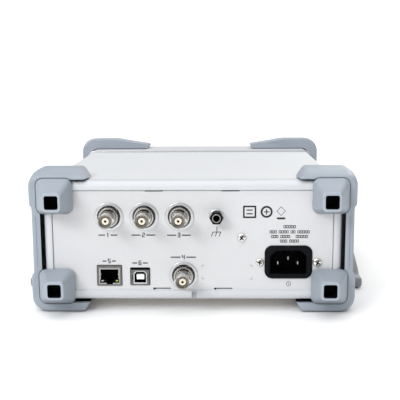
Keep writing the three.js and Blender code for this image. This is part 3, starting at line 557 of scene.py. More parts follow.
def cover(z_lo, z_hi, top=True):
    bm = bmesh.new()
    o = rr(-HALF_W, HALF_W, CASE_Z0, CASE_Z1, 6, 12)
    i = rr(-HALF_W + 1.2, HALF_W - 1.2, CASE_Z0 + 1.2, CASE_Z1 - 1.2, 4.8, 12)
    n = len(o)
    rings = []
    for y in (CASE_Y0, CASE_Y0 + 0.35, CASE_Y1 - 0.35, CASE_Y1):
        rings.append(at_y(o, y))
    ring_in = [at_y(i, y) for y in (CASE_Y1, CASE_Y0)]
    loft(bm, rings + ring_in, loop=True)
    t = temp("tube", bm, ("case",))
    bm = bmesh.new()
    loft(bm, [at_y([(-120, z_lo), (120, z_lo), (120, z_hi), (-120, z_hi)], y) for y in (CASE_Y0 - 5, CASE_Y1 + 5)])
    boolean(t, temp("keep", bm, ("case",)), "INTERSECT")
    return t


t = cover(SPLIT + 0.35, 120)
bmv = bmesh.new()
for s in (-1, 1):
    for k in range(9):
        cy = 18 + k * 7
        xs = (HALF_W - 4, HALF_W + 2) if s > 0 else (-HALF_W - 2, -HALF_W + 4)
        loft(bmv, [at_x(rr(cy - 1.2, cy + 1.2, 56, 78, 1.19, 5), x) for x in xs])
boolean(t, temp("vents", bmv, ("case",)))
bm, mats = to_bm(t)
make("top_cover_skin", bm, mats, replaces=["top_cover"], bevel=0.22, seg=2, angle=40)
t = cover(0, SPLIT, False)
bmv = bmesh.new()
for yy in (-20, -8, 4, 16, 28, 76, 88):
    for x0 in (-70, -30, 10, 50):
        loft(bmv, [at_z(rr(x0, x0 + 24, yy - 1.1, yy + 1.1, 1.09, 4), z) for z in (CASE_Z0 - 1, CASE_Z0 + 3)])
boolean(t, temp("vents2", bmv, ("case",)))
bm, mats = to_bm(t)
make("bottom_cover_skin", bm, mats, replaces=["bottom_cover"], bevel=0.22, seg=2, angle=40)

# ---------------------------------------------------------------- rear frame
ry0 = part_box("rear_frame")[0][1] / MM
ry1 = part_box("rear_frame")[1][1] / MM
rhw, rz0, rz1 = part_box("rear_frame")[1][0] / MM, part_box("rear_frame")[0][2] / MM - 0.5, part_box("rear_frame")[1][2] / MM


def ring_section(y, inset, r):
    return at_y(rr(-rhw + inset, rhw - inset, rz0 + inset, rz1 - inset, r, 8), y)


def inner_section(y, inset, r):
    return at_y(rr(-97.7 + inset, 97.7 - inset, 15.95 + inset, 87.0 - inset, r, 8), y)


bm = bmesh.new()
rings = [ring_section(ry0, 0.3, 5.8), ring_section(ry0 + 0.4, 0.0, 6)]
R = 4.6
for k in range(0, 10):
    a = math.radians(k * 10)
    rings.append(ring_section(ry1 - R + R * math.sin(a), R * (1 - math.cos(a)), 6 + 0.8 * math.sin(a)))
rings += [inner_section(ry1, -0.55, 2.8), inner_section(ry1 - 0.12, -0.2, 2.4), inner_section(ry1 - 0.45, 0.0, 2.2), inner_section(ry0, 0.0, 2.2)]
loft(bm, rings, loop=True)
t = temp("ring", bm, ("frame", "ink", "lockgrey"))
bm = bmesh.new()
loft(bm, [at_y(rr(-2.7, 0.8, 9.0, 15.2, 0.6, 3), y) for y in (ry1 - 1.9, ry1 + 1)])
boolean(t, temp("lock", bm, ("lockgrey",)))
bm = bmesh.new()
loft(bm, [at_y(circ(0.0, 10.9, 0.7, 16), y) for y in (ry1 - 9, ry1 - 2)])
boolean(t, temp("lockdot", bm, ("ink",)))
bm, mats = to_bm(t)
make("rear_frame_skin", bm, mats, replaces=["rear_frame"], bevel=0.15, seg=2, angle=42)


# --------------------------------------------------------------- rear sockets
def hexagon(x, z, rc, a0):
    return [(x + rc * math.cos(a0 + math.pi / 3 * i), z + rc * math.sin(a0 + math.pi / 3 * i)) for i in range(6)]


def bnc_shell(name, x, z, y, d, replaces, length=15.0):
    bm = bmesh.new()
    e = length - 15.0
    # the bottom of the centre contact's bore is black: painted shade
    prof = [(0, 9.6, 4), (0.60, 9.7, 4), (0.63, 13.3, 3), (0.78, 13.45, 3), (0.9, 13.3, 3), (0.92, 12.9, 2), (1.1, 13.1, 2), (2.2, 13.1, 2), (2.45, 12.9, 2), (2.52, 12.5, 2), (2.55, 11.9, 5), (3.05, 11.8, 5), (3.1, 12.9, 5), (3.25, 13.1, 5), (3.6, 13.1, 5),
            (3.75, 14.3, 5), (3.95, 14.75, 5), (4.2, 14.97, 5), (4.5, 14.97, 5), (4.75, 14.8, 5), (4.85, 14.5, 0), (4.85, 12.4, 0), (4.75, 12.3, 0), (4.75, 9.8, 0), (4.85, 9.7, 0), (4.85, 6.3 - e, 0)]
    prof = [(r_, h_ + e, m_) for r_, h_, m_ in prof]
    prof += [(4.87, 6.0, 0), (4.95, 5.8, 0), (5.05, 5.5, 0)]
    # the thread's roots and the flanks turned back towards the panel take the darker nickel: painted shade
    h = 5.3
    while h > -1.4:
        prof += [(5.22, h, 0), (5.22, h - 0.14, 0), (4.94, h - 0.36, 1), (4.94, h - 0.44, 1)]
        h -= 0.66
    prof += [(5.9, -1.9, 0), (8.1, -2.1, 0), (8.1, -3.9, 0), (5, -4.1, 0), (5, -10.2, 0), (1.2, -10.3, 3), (1.2, -10.9, 3), (0, -10.9, 3)]
    lathe(bm, [(p[0], p[1]) for p in prof], x, z, y, d, 56, mats=[p[2] for p in prof[1:]])
    t = temp("bncshell", bm, ("chrome", "nickel_dark", "cream", "warm", "inner_black_and_shade", "barrel", "nut_shade_black"))
    # flat along the thread, its cut faces near-black: painted shade in the gap under the nut
    bm = bmesh.new()
    ys = sorted((y - d * 1.5, y + d * 5.75))
    loft(bm, [at_z([(x - 6.4, ys[0]), (x + 6.4, ys[0]), (x + 6.4, ys[1]), (x - 6.4, ys[1])], zz) for zz in (z + 3.7, z + 7)])
    boolean(t, temp("flat", bm, ("nut_shade_black",)))
    for s in (-1, 1):
        bm = bmesh.new()
        rings = []
        for rad, off in ((1.02, 4.3), (1.02, 5.45), (0.9, 5.65), (0.6, 5.75)):
            rings.append(at_x([(q[0], q[1]) for q in circ(y + d * (11.0 + e), z, rad, 16)], x + s * off))
        loft(bm, rings)
        boolean(t, temp("lug", bm, ("chrome",)), "UNION")
    bm, mats = to_bm(t)
    return make(name, bm, mats, replaces=replaces, sharp=30)


def bnc_nut(name, x, z, y, d, turn, replaces, washer=9.7):
    bm = bmesh.new()
    # dished washer with a rounded rim
    n = 72
    prof = [(5.5, 0.12), (washer - 0.25, 0.1), (washer, 0.3), (washer, 0.62), (washer - 0.3, 0.86), (washer - 1.3, 0.95), (5.5, 0.95), (5.5, 0.12)]
    rings = [at_y(circ(x, z, r, n), y + d * h) for r, h in prof[:-1]]
    loft(bm, rings, loop=True, mat=1)
    # a near-black ring between washer and nut: painted shadow line
    prof = [(5.5, 0.97), (7.95, 0.97), (8.05, 1.1), (7.9, 1.3), (5.5, 1.3)]
    loft(bm, [at_y(circ(x, z, r, n), y + d * h) for r, h in prof], loop=True, mat=3)
    # nut: hexagon turned down to a cone at its outer edge; the cone band is near-black, a painted dark reflection, and
    # the end face a darker nickel, painted shade
    hexo = bmesh.new()
    hx = hexagon(x, z, 8.2, turn)
    loft(hexo, [at_y(hx, y + d * 1.0), at_y(hx, y + d * 4.6)])
    t = temp("hex", hexo, ("chrome", "nickel_dark", "nut_shade_black"))
    cone = bmesh.new()
    lathe(cone, [(0, 0.5), (9, 0.5), (9, 1.6), (7.8, 2.75), (6.85, 4.2), (6.7, 4.35), (0, 4.35)], x, z, y, d, 64, mats=[0, 0, 1, 1, 2, 2])
    boolean(t, temp("cone", cone, ("chrome", "nut_shade_black", "shaded_nut_end")), "INTERSECT")
    # the nut's bore is lined black: painted shade
    hole = bmesh.new()
    lathe(hole, [(0, 0), (5.5, 0), (5.5, 4.0), (5.8, 4.6), (5.8, 5), (0, 5)], x, z, y, d, 56, mats=[1, 1, 0, 0, 0])
    boolean(t, temp("hole", hole, ("chrome", "inner_black_and_shade")))
    b2, mats = to_bm(t)
    order = ["chrome", "washer", "nickel_dark", "nut_shade_black", "inner_black_and_shade", "shaded_nut_end"]
    me = bpy.data.meshes.new("nut")
    b2.to_mesh(me)
    b2.free()
    for f in me.polygons:
        f.material_index = order.index(mats[f.material_index])
    bm.from_mesh(me)
    bpy.data.meshes.remove(me)
    return make(name, bm, order, replaces=replaces, bevel=0.1, seg=2, angle=36)


def centre(node_name):
    lo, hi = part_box(node_name)
    return (lo[0] + hi[0]) / 2 / MM, (lo[2] + hi[2]) / 2 / MM


for nm, turn in (("counter_in", 0.22), ("aux", math.pi / 6), ("reference_in", math.pi / 6 - 0.03), ("reference_out", 0.03)):
    x, z = centre("bnc_nut_" + nm)
    x, z = x + 0.15, z - 0.5
    bnc_shell("socket_" + nm, x, z, RY, 1, ["bnc_" + nm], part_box("bnc_" + nm)[1][1] / MM - RY + 1.2)
    bnc_nut("socket_nut_" + nm, x, z, RY, 1, turn, ["bnc_nut_" + nm], 9.95)

# earth socket: black hexagonal collar over a plain bore, on a plated ring nut
x, z = centre("ground_jack_nut")
hexo = bmesh.new()
hx = hexagon(x, z, 4.75, 0.0)
loft(hexo, [at_y(hx, RY + 4.2), at_y(hx, RY + 9.6)])
t = temp("hexj", hexo, ("black", "inner_black_and_shade", "nickel_dark"))
cone = bmesh.new()
lathe(cone, [(0, 2), (5.6, 2), (5.6, 8.6), (4.2, 9.55), (0, 9.55)], x, z, RY, 1, 48)
boolean(t, temp("cone", cone, ("black",)), "INTERSECT")
barrel = bmesh.new()
lathe(barrel, [(0, -14), (3.4, -14), (3.4, 2.2), (4.0, 2.6), (4.0, 5.0), (0, 5.0)], x, z, RY, 1, 48)
boolean(t, temp("barrel", barrel, ("black",)), "UNION")
lip = bmesh.new()
lathe(lip, [(0, 8.0), (3.05, 8.0), (3.05, 9.75), (2.9, 9.95), (0, 9.95)], x, z, RY, 1, 40)
boolean(t, temp("lip", lip, ("nickel_dark",)), "UNION")
# the bore is lined black: painted shade
bore = bmesh.new()
lathe(bore, [(0, -2), (2.2, -2), (2.2, 9.6), (2.45, 10.1), (2.45, 12), (0, 12)], x, z, RY, 1, 40)
boolean(t, temp("bore", bore, ("inner_black_and_shade",)))
b2, mats = to_bm(t)
make("earth_socket", b2, mats, replaces=["ground_jack"], bevel=0.12, seg=2, angle=34)
bm = bmesh.new()
prof = [(3.75, 0.05), (5.0, 0.05), (5.15, 0.25), (5.15, 1.3), (4.95, 1.7), (4.5, 2.0), (3.75, 2.0)]
loft(bm, [at_y(circ(x, z, r, 56), RY + h) for r, h in prof], loop=True)
make("earth_ring", bm, ["washer"], replaces=["ground_jack_nut"], sharp=35)


# -------------------------------------------------------------- data sockets
def strip_box(bm, x0, x1, y0, y1, z0, z1, mat=0):
    vs = [bm.verts.new(Vector(p) * MM) for p in ((x0, y0, z0), (x1, y0, z0), (x1, y1, z0), (x0, y1, z0), (x0, y0, z1), (x1, y0, z1), (x1, y1, z1), (x0, y1, z1))]
    for q in ((0, 3, 2, 1), (4, 5, 6, 7), (0, 1, 5, 4), (1, 2, 6, 5), (2, 3, 7, 6), (3, 0, 4, 7)):
        f = bm.faces.new([vs[i] for i in q])
        f.material_index = mat


lo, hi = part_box("lan_port")
x0, x1, y0, y1, z0, z1 = lo[0] / MM, hi[0] / MM, lo[1] / MM, hi[1] / MM, lo[2] / MM, hi[2] / MM
xm = (x0 + x1) / 2
bm = bmesh.new()
loft(bm, [at_y(rr(x0, x1, z0, z1, 0.6, 3), y) for y in (y0, y1)])
t = temp("lan", bm, ("shell", "inner_black_and_shade", "gold", "shell2"))
bm = bmesh.new()
cav = [(xm - 6.7, z0 + 1.8), (xm - 2.2, z0 + 1.8), (xm - 2.0, z0 + 0.85), (xm + 2.0, z0 + 0.85), (xm + 2.2, z0 + 1.8), (xm + 6.7, z0 + 1.8),
       (xm + 6.7, z0 + 4.5), (xm + 6.25, z0 + 4.8), (xm + 6.25, z1 - 2.8), (xm - 6.25, z1 - 2.8), (xm - 6.25, z0 + 4.8), (xm - 6.7, z0 + 4.5)]
loft(bm, [at_y(cav, y) for y in (y1 - 13, y1 + 1)])
boolean(t, temp("cav", bm, ("inner_black_and_shade",)))
# folded front border: a shallow step round the mouth, and the seam over it
bm = bmesh.new()
step_ = [(xm - 7.35, z0 + 0.9), (xm + 7.35, z0 + 0.9), (xm + 7.35, z1 - 1.7), (xm - 7.35, z1 - 1.7)]
loft(bm, [at_y(step_, y) for y in (y1 - 0.3, y1 + 1)])
boolean(t, temp("step", bm, ("shell2",)))
# two stamped slits over the mouth, cut with black walls: painted shade
bm = bmesh.new()
for dx in (-4.0, 4.0):
    strip_box(bm, xm + dx - 0.9, xm + dx + 0.9, y1 - 9, y1 + 0.05, z1 - 0.85, z1 - 0.65)
boolean(t, temp("stamp", bm, ("inner_black_and_shade",)))
b2, mats = to_bm(t)
make("network_socket", b2, mats, replaces=["lan_port"], bevel=0.14, seg=2, angle=40)
bm = bmesh.new()
strip_box(bm, xm - 6.6, xm - 2.5, y1 - 9, y1 - 0.9, z0 + 1.85, z0 + 4.0)
strip_box(bm, xm + 2.5, xm + 6.6, y1 - 9, y1 - 0.9, z0 + 1.85, z0 + 4.0)
make("network_socket_insert", bm, ["inner_black_and_shade"], bevel=0.15, seg=1)
bm = bmesh.new()
strip_box(bm, xm - 6.5, xm - 5.85, y1 - 6, y1 - 0.5, z0 + 7.2, z0 + 8.4)
strip_box(bm, xm + 5.85, xm + 6.5, y1 - 6, y1 - 0.5, z0 + 7.2, z0 + 8.4)
make("network_springs", bm, ["shell2"], bevel=0.12, seg=1)
bm = bmesh.new()
for k in range(8):
    xx = xm - 3.57 + k * 1.02
    strip_box(bm, xx - 0.2, xx + 0.2, y1 - 11, y1 - 5.5, z1 - 3.6, z1 - 3.25)
make("network_contacts", bm, ["warm"])
for dx, mt_, nm in ((-5.1, "led", "network_lamp_a"), (5.1, "ledw", "network_lamp_b")):
    bm = bmesh.new()
    loft(bm, [at_y(rr(xm + dx - 0.8 - g, xm + dx + 0.8 + g, z0 + 2.7 - g, z0 + 3.6 + g, 0.3, 3), y) for g, y in ((0.0, y1 - 3), (0.0, y1 - 0.8), (-0.25, y1 - 0.55))])
    make(nm, bm, [mt_])

lo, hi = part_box("usb_device_port")
x0, x1, y0, y1, z0, z1 = lo[0] / MM, hi[0] / MM, lo[1] / MM, hi[1] / MM, lo[2] / MM, hi[2] / MM
xm = (x0 + x1) / 2
bm = bmesh.new()
loft(bm, [at_y(rr(x0 + 0.2, x1 - 0.2, z0, z1 - 1.25, 0.5, 3), y) for y in (y0, y1)])
t = temp("usb", bm, ("shell", "inner_black_and_shade", "washer"))


def chamfered(x0, x1, z0, z1, c):
    return [(x0, z0), (x1, z0), (x1, z1 - c), (x1 - c, z1), (x0 + c, z1), (x0, z1 - c)]


bm = bmesh.new()
loft(bm, [at_y(chamfered(xm - 4.75, xm + 4.75, z0 + 0.9, z1 - 2.1, 1.8), y) for y in (y1 - 0.5, y1 + 1)])
boolean(t, temp("c1", bm, ("washer",)))
# the cavity and the two slits are cut with black walls: painted shade
bm = bmesh.new()
loft(bm, [at_y(chamfered(xm - 4.0, xm + 4.0, z0 + 1.8, z1 - 2.8, 1.5), y) for y in (y1 - 12.4, y1 + 1)])
boolean(t, temp("c2", bm, ("inner_black_and_shade",)))
bm = bmesh.new()
for dx in (-1, 1):
    strip_box(bm, xm + dx * 5.4 - 0.15, xm + dx * 5.4 + 0.15, y1 - 8, y1 + 0.05, z0 + 3.5, z0 + 7.5)
boolean(t, temp("c3", bm, ("inner_black_and_shade",)))
b2, mats = to_bm(t)
make("serial_socket", b2, mats, replaces=["usb_device_port"], bevel=0.15, seg=2, angle=40)
bm = bmesh.new()
strip_box(bm, x0 + 0.1, x1 - 0.1, y0 + 2, y1 - 0.9, z1 - 1.2, z1)
make("serial_socket_shade", bm, ["inner_black_and_shade"], bevel=0.1, seg=1)
lo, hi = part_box("usb_device_tongue")
bm = bmesh.new()
loft(bm, [at_y(rr(xm - 2.8, xm + 2.8, z0 + 3.6, z0 + 7.4, 0.5, 4), y) for y in (lo[1] / MM, hi[1] / MM - 0.25)] + [at_y(rr(xm - 2.6, xm + 2.6, z0 + 3.8, z0 + 7.2, 0.4, 4), hi[1] / MM)])
make("serial_tongue", bm, ["ivory"], replaces=["usb_device_tongue"], sharp=30)
bm = bmesh.new()
for dx in (-1.25, 1.25):
    for zz in (z0 + 3.45, z0 + 7.4):
        strip_box(bm, xm + dx - 0.5, xm + dx + 0.5, y1 - 11, y1 - 3.0, zz, zz + 0.15)
make("serial_contacts", bm, ["gold"])

# --------------------------------------------------------------- mains inlet
lo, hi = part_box("mains_inlet")
ix = (lo[0] + hi[0]) / 2 / MM
IY1 = hi[1] / MM
iz0, iz1 = lo[2] / MM, hi[2] / MM
ihw = 16.35
bm = bmesh.new()
rings = []
for g, y in ((0, RY - 24), (0, IY1 - 1.3), (0.08, IY1 - 0.85), (0.3, IY1 - 0.4), (0.65, IY1 - 0.1), (1.1, IY1)):
    rings.append(at_y(rr(ix - ihw + g, ix + ihw - g, iz0 + g, iz1 - g, 5.2 - g * 0.5, 10), y))
# shallow step, then the chamfered mouth of the cavity


def mouth(g, c, r=0.8):
    a, b, d0, d1 = ix - 12.55 + g, ix + 12.55 - g, 27.75 + g, 44.45 - g
    return [(a + r, d0), (b - r, d0), (b - r * 0.3, d0 + r * 0.3), (b, d0 + r), (b, d1 - c), (b - c * 0.12, d1 - c * 0.8), (b - c * 0.8, d1 - c * 0.12), (b - c, d1), (a + c, d1), (a + c * 0.8, d1 - c * 0.12), (a + c * 0.12, d1 - c * 0.8), (a, d1 - c), (a, d0 + r), (a + r * 0.3, d0 + r * 0.3)]


loft(bm, rings)
t = temp("inlet", bm, ("black", "inner_black_and_shade"))
bm = bmesh.new()
loft(bm, [at_y(rr(ix - 24.8, ix + 24.8, 25.0, 47.2, 6, 5), y) for y in (RY - 4.9, RY - 1.95)])
boolean(t, temp("flange", bm, ("black",)), "UNION")
# the deeper part of the mouth takes the darker black: painted shade
bm = bmesh.new()
loft(bm, [at_y(mouth(-1.0, 4.6, 1.4), IY1 + 0.5), at_y(mouth(-0.75, 4.6, 1.3), IY1 - 0.55), at_y(mouth(-0.05, 4.5, 0.9), IY1 - 1.0), at_y(mouth(0, 4.5), IY1 - 2), at_y(mouth(0, 4.5), RY - 15.8)][::-1], mats=[1, 1, 0, 0])
boolean(t, temp("mouth", bm, ("black", "inner_black_and_shade")))
b2, mats = to_bm(t)
make("mains_inlet_body", b2, mats, replaces=["mains_inlet"], bevel=0.2, seg=2, angle=40)
for nm in ("line", "earth", "neutral"):
    lo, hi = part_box("mains_pin_" + nm)
    px, pz = (lo[0] + hi[0]) / 2 / MM, (lo[2] + hi[2]) / 2 / MM
    bm = bmesh.new()
    ya, yb = lo[1] / MM, hi[1] / MM
    deep = 0.0 if nm == "earth" else 1.6
    rings = [at_y(rr(px - 1, px + 1, pz - 2, pz + 2, 0.35, 3), y) for y in (ya, yb - 2.4 - deep)]
    rings += [at_y(rr(px - 0.8, px + 0.8, pz - 1.75, pz + 1.75, 0.3, 3), yb - 1.5 - deep), at_y(rr(px - 0.45, px + 0.45, pz - 1.2, pz + 1.2, 0.25, 3), yb - 0.2 - deep), at_y(rr(px - 0.36, px + 0.36, pz - 1.05, pz + 1.05, 0.2, 3), yb - deep)]
    loft(bm, rings)
    make("mains_blade_" + nm, bm, ["pin"], replaces=["mains_pin_" + nm], sharp=30)


# -------------------------------------------------------------------- screws
def screw(name, x, z, r, turn, replaces):
    bm = bmesh.new()
    prof = [(0, -4), (1.5, -4), (1.5, 0.05), (r - 0.1, 0.05), (r, 0.2), (r, 0.5)]
    for k in range(1, 9):
        a = math.radians(k * 10.5)
        prof.append((r * math.cos(a), 0.5 + (1.55) * math.sin(a)))
    prof.append((0, 2.07))
    lathe(bm, prof, x, z, RY, 1, 48)
    t = temp("screw", bm, ("chrome", "inner_black_and_shade"))
    # the cross recess is cut with black walls: painted shade
    for a in (0, math.pi / 2):
        bm = bmesh.new()
        c, s = math.cos(a + turn), math.sin(a + turn)
        L, W = r * 0.62, 0.42
        ring = lambda L, W, y: [Vector((x + u * c - v * s, y, z + u * s + v * c)) * MM for u, v in ((-L, -W), (L, -W), (L, W), (-L, W))]
        e = 0.02 if a else 0.0
        loft(bm, [ring(L * 0.35, W * 0.5, RY + 0.6 + e), ring(L * 0.98, W, RY + 1.55 + e), ring(L, W * 1.05, RY + 3 + e)])
        boolean(t, temp("cross", bm, ("inner_black_and_shade",)))
    b2, mats = to_bm(t)
    return make(name, b2, mats, replaces=replaces, sharp=30)


for nm, r, turn in (("inlet_screw_left", 3.2, 0.5), ("inlet_screw_right", 2.9, 0.15), ("panel_screw", 3.1, 0.7)):
    x, z = centre(nm)
    screw(nm.replace("screw", "fixing"), x, z, r, turn, [nm])


# --------------------------------------------------------------- rear panel
def box_mm(nm):
    a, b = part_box(nm)
    return a[0] / MM, b[0] / MM, a[1] / MM, b[1] / MM, a[2] / MM, b[2] / MM


bm = bmesh.new()
x0, x1, y0, y1, z0, z1 = box_mm("rear_panel")
loft(bm, [at_y(rr(x0, x1, min(z0, 15.6), z1, 1.5, 5), y) for y in (y0, y1)])
t = temp("panel", bm, ("panel", "ink"))
cuts = []
for nm in ("counter_in", "aux", "reference_in", "reference_out"):
    x, z = centre("bnc_nut_" + nm)
    cuts.append(circ(x, z, 6.3, 40))
x, z = centre("ground_jack_nut")
cuts.append(circ(x, z, 3.6, 32))
for nm, g in (("lan_port", 0.35), ("usb_device_port", 0.35)):
    a = box_mm(nm)
    cuts.append(rr(a[0] - g, a[1] + g, a[4] - g, a[5] + g, 0.8, 3))
a = box_mm("mains_inlet")
cuts.append(rr(ix - ihw - 0.3, ix + ihw + 0.3, iz0 - 0.3, iz1 + 0.3, 5.4, 8))
for nm in ("inlet_screw_left", "inlet_screw_right", "panel_screw"):
    x, z = centre(nm)
    cuts.append(circ(x, z, 1.8, 20))
for a, b, c, d in ((20.1, 32.7, 86.15, 86.95), (-32.9, -20.2, 86.15, 86.95), (15.4, 27.7, 16.75, 17.6), (-27.9, -15.1, 16.75, 17.6)):
    cuts.append(rr(a, b, c, d, 0.37, 3))
for c in cuts:
    bm = bmesh.new()
    loft(bm, [at_y(c, y) for y in (y0 - 1, y1 + 1)])
    boolean(t, temp("cut", bm, ("panel",)))
bm, mats = to_bm(t)
make("rear_panel_skin", bm, mats, replaces=["rear_panel"], bevel=0.18, seg=2, angle=40)


# ------------------------------------------------------------- print on panel
INK_Y = RY + 0.03
SEG = {  # a plain seven-stroke digit, drawn here and nowhere else
    "0": "abcdef", "1": "bc", "2": "abged", "3": "abgcd", "4": "fgbc", "5": "afgcd", "6": "afgedc", "7": "abc", "8": "abcdefg", "9": "abcdfg"}


def stroke(bm, a, b, w, y=None):
    y = INK_Y if y is None else y
    a, b = Vector((a[0], a[1])), Vector((b[0], b[1]))
    d = (b - a).normalized() if (b - a).length else Vector((1, 0))
    n = Vector((-d.y, d.x)) * w / 2
    e = d * w * 0.35
    pts = [a - e + n * 0.6, a - e * 0.2 + n, b + e * 0.2 + n, b + e + n * 0.6, b + e - n * 0.6, b + e * 0.2 - n, a - e * 0.2 - n, a - e - n * 0.6]
    loft(bm, [at_y([(p.x, p.y) for p in pts], yy) for yy in (y - 0.04, y + 0.02)])


def digit(bm, ch, x, z, h, w=None, t=0.34, facing=1, y=None):
    """Digit of height h centred on x, z, read from the side that facing names (1: from +Y)."""
    w = w or h * 0.5
    s = -1 if facing == 1 else 1
    X = lambda u: x + s * u
    L, R_, T, B, C = -w / 2, w / 2, z + h / 2, z - h / 2, z
    seg = {"a": ((L, T), (R_, T)), "b": ((R_, T), (R_, C)), "c": ((R_, C), (R_, B)), "d": ((L, B), (R_, B)), "e": ((L, C), (L, B)), "f": ((L, T), (L, C)), "g": ((L, C), (R_, C))}
    if ch == "1":
        stroke(bm, (X(0), T), (X(0), B), t, y)
        stroke(bm, (X(0), T), (X(-w * 0.3), T - h * 0.2), t, y)
        return
    for k in SEG[ch]:
        (u0, v0), (u1, v1) = seg[k]
        stroke(bm, (X(u0), v0), (X(u1), v1), t, y)


def ring_mark(bm, x, z, r, t, n=32, y=None, a0=0, a1=360):
    y = INK_Y if y is None else y
    pts_o = arc(x, z, r + t / 2, a0, a1, n)
    pts_i = arc(x, z, r - t / 2, a0, a1, n)
    for i in range(n):
        q = [pts_o[i], pts_o[i + 1], pts_i[i + 1], pts_i[i]]
        loft(bm, [at_y(q, yy) for yy in (y - 0.04, y + 0.02)])


bm = bmesh.new()
# numbered sockets: a numeral between two short rules
for num, u, v, half in (("1", -59.0, 55.6, 6.4), ("2", -34.2, 55.6, 8.0), ("3", -9.4, 55.5, 8.0), ("4", -6.5, 39.8, 8.6), ("5", -58.5, 37.0, 4.4), ("6", -36.9, 35.6, 5.2)):
    digit(bm, num, -u, v, 2.7, 1.5, 0.58)
    for s in (-1, 1):
        stroke(bm, (-u + s * 2.2, v - 0.1), (-u + s * half, v - 0.1), 0.8)
# rating block: rows of small blank cells standing in for print
rows = ((61.3, (5,)), (57.7, (3, 4, 2, 5)), (54.4, (3, 4, 0, 0, 5)), (51.2, (3, 4)))
for v, lens in rows:
    pitch = 1.72
    total = sum(lens) * pitch + 1.25 * (len(lens) - 1)
    u = 67.3 - total / 2
    for L in lens:
        for k in range(L):
            xa, xb = -(u + 0.28), -(u + pitch - 0.28)
            for a_, b_ in (((xa, v - 0.85), (xa, v + 0.85)), ((xb, v - 0.85), (xb, v + 0.85)), ((xa, v + 0.85), (xb, v + 0.85)), ((xa, v - 0.85), (xb, v - 0.85))):
                stroke(bm, a_, b_, 0.42)
            u += pitch
        u += 1.25
# earth symbol under the jack, and plain marks to its right
jx, jz = centre("ground_jack_nut")
gy = 57.6
stroke(bm, (jx - 0.3, gy + 3.6), (jx - 0.3, gy), 0.5)
stroke(bm, (jx - 3.0, gy), (jx + 2.6, gy), 0.5)
for k in (-3.0, -0.3, 2.4):
    stroke(bm, (jx + k, gy), (jx + k + 1.1, gy - 2.9), 0.5)
# square outline with a cross bar
sx0, sx1, sz0, sz1 = -43.6, -35.6, 68.0, 75.6
for a, b in (((sx0, sz0), (sx1, sz0)), ((sx1, sz0), (sx1, sz1)), ((sx1, sz1), (sx0, sz1)), ((sx0, sz1), (sx0, sz0))):
    stroke(bm, a, b, 1.15)
for k in (1, 2):
    zz = sz0 + k * (sz1 - sz0) / 3
    stroke(bm, (sx0 + 2.1, zz), (sx1 - 2.1, zz), 0.8)
ring_mark(bm, -51.3, 71.8, 3.5, 1.35, 40)
stroke(bm, (-51.3 - 1.7, 71.8), (-51.3 + 1.7, 71.8), 0.7)
stroke(bm, (-51.3, 70.1), (-51.3, 73.5), 0.7)
# diamond over a bar
for a, b in (((-61.3, 75.4), (-58.4, 72.3)), ((-58.4, 72.3), (-61.3, 69.2)), ((-61.3, 69.2), (-64.2, 72.3)), ((-64.2, 72.3), (-61.3, 75.4))):
    stroke(bm, a, b, 0.32)
stroke(bm, (-63.7, 67.2), (-58.9, 67.2), 1.35)
ring_mark(bm, -67.1, 20.6, 1.5, 0.34, 24)
stroke(bm, (-67.1, 20.9), (-67.1, 20.3), 0.5)
# dark dots at the inner ends of the lower tab slots
for dx in (27.1, -15.7):
    loft(bm, [at_y(circ(dx, 17.0, 0.8, 16), yy) for yy in (INK_Y - 0.04, INK_Y + 0.02)])
# corner marks of the blank label space
for cx, sx in ((-6.5, -1), (-41.5, 1)):
    for cz, sz in ((24.0, 1), (33.9, -1)):
        stroke(bm, (cx, cz), (cx + sx * 1.8, cz), 0.2)
        stroke(bm, (cx, cz), (cx, cz + sz * 1.8), 0.2)
make("rear_print", bm, ["ink"])

# ------------------------------------------------------------- front housing
bm = bmesh.new()
fr = lambda y, g, r: at_y(rr(-FHW + g, FHW - g, FZ0 + g, FZ1 - g, r, 8), y)
fi = lambda y, g, r: at_y(rr(-97.7 + g, 97.7 - g, 16.2 + g, 87.4 - g, r, 8), y)
rings = [fr(FY1, 0.3, 6.8), fr(FY1 - 0.8, 0.3, 6.8), fr(FY1 - 0.85, -0.25, 7), fr(FY1 - 1.1, -0.4, 7.2)]
rings += [fr(FY1 - 3.2, -0.4, 7.2), fr(FY1 - 5.0, 0.0, 7)]
R = 3.4
for k in range(0, 10):
    a = math.radians(k * 10)
    rings.append(fr(FY0 + R - R * math.sin(a), R * (1 - math.cos(a)), 7))
rings += [fi(FY0, -0.5, 4.4), fi(FY0 + 0.2, -0.12, 4.1), fi(FY0 + 0.6, 0, 4), fi(FY1, 0, 4)]
loft(bm, rings, loop=True, mats=[1, 1] + [0] * (len(rings) - 2))
make("front_housing_skin", bm, ["frame", "shell2"], replaces=["front_housing"], bevel=0.1, seg=1, angle=45, sharp=32)

# --------------------------------------------------------------- front panel
x0, x1, y0, y1, z0, z1 = box_mm("front_panel")
bm = bmesh.new()
loft(bm, [at_y(rr(x0, x1, z0, z1, 3.8, 8), y) for y in (y0, y1)])
t = temp("fpanel", bm, ("front", "inner_black_and_shade", "ink"))
keys_front = [("soft_key_%d" % (i + 1), 1.6) for i in range(6)] + [("function_key", 2.0), ("channel_key", 2.0), ("trigger_key", 2.0), ("run_key", 2.0), ("arrow_key_left", 2.4), ("arrow_key_right", 2.4), ("power_button", 4.8)]
BEHIND = y1


def cap_box(nm):
    """The visible cap of a key: its box without the 1 mm flange behind the panel."""
    a = box_mm(nm)
    g = 1.0
    return a[0] + g, a[1] - g, a[2], a[3], a[4] + g, a[5] - g


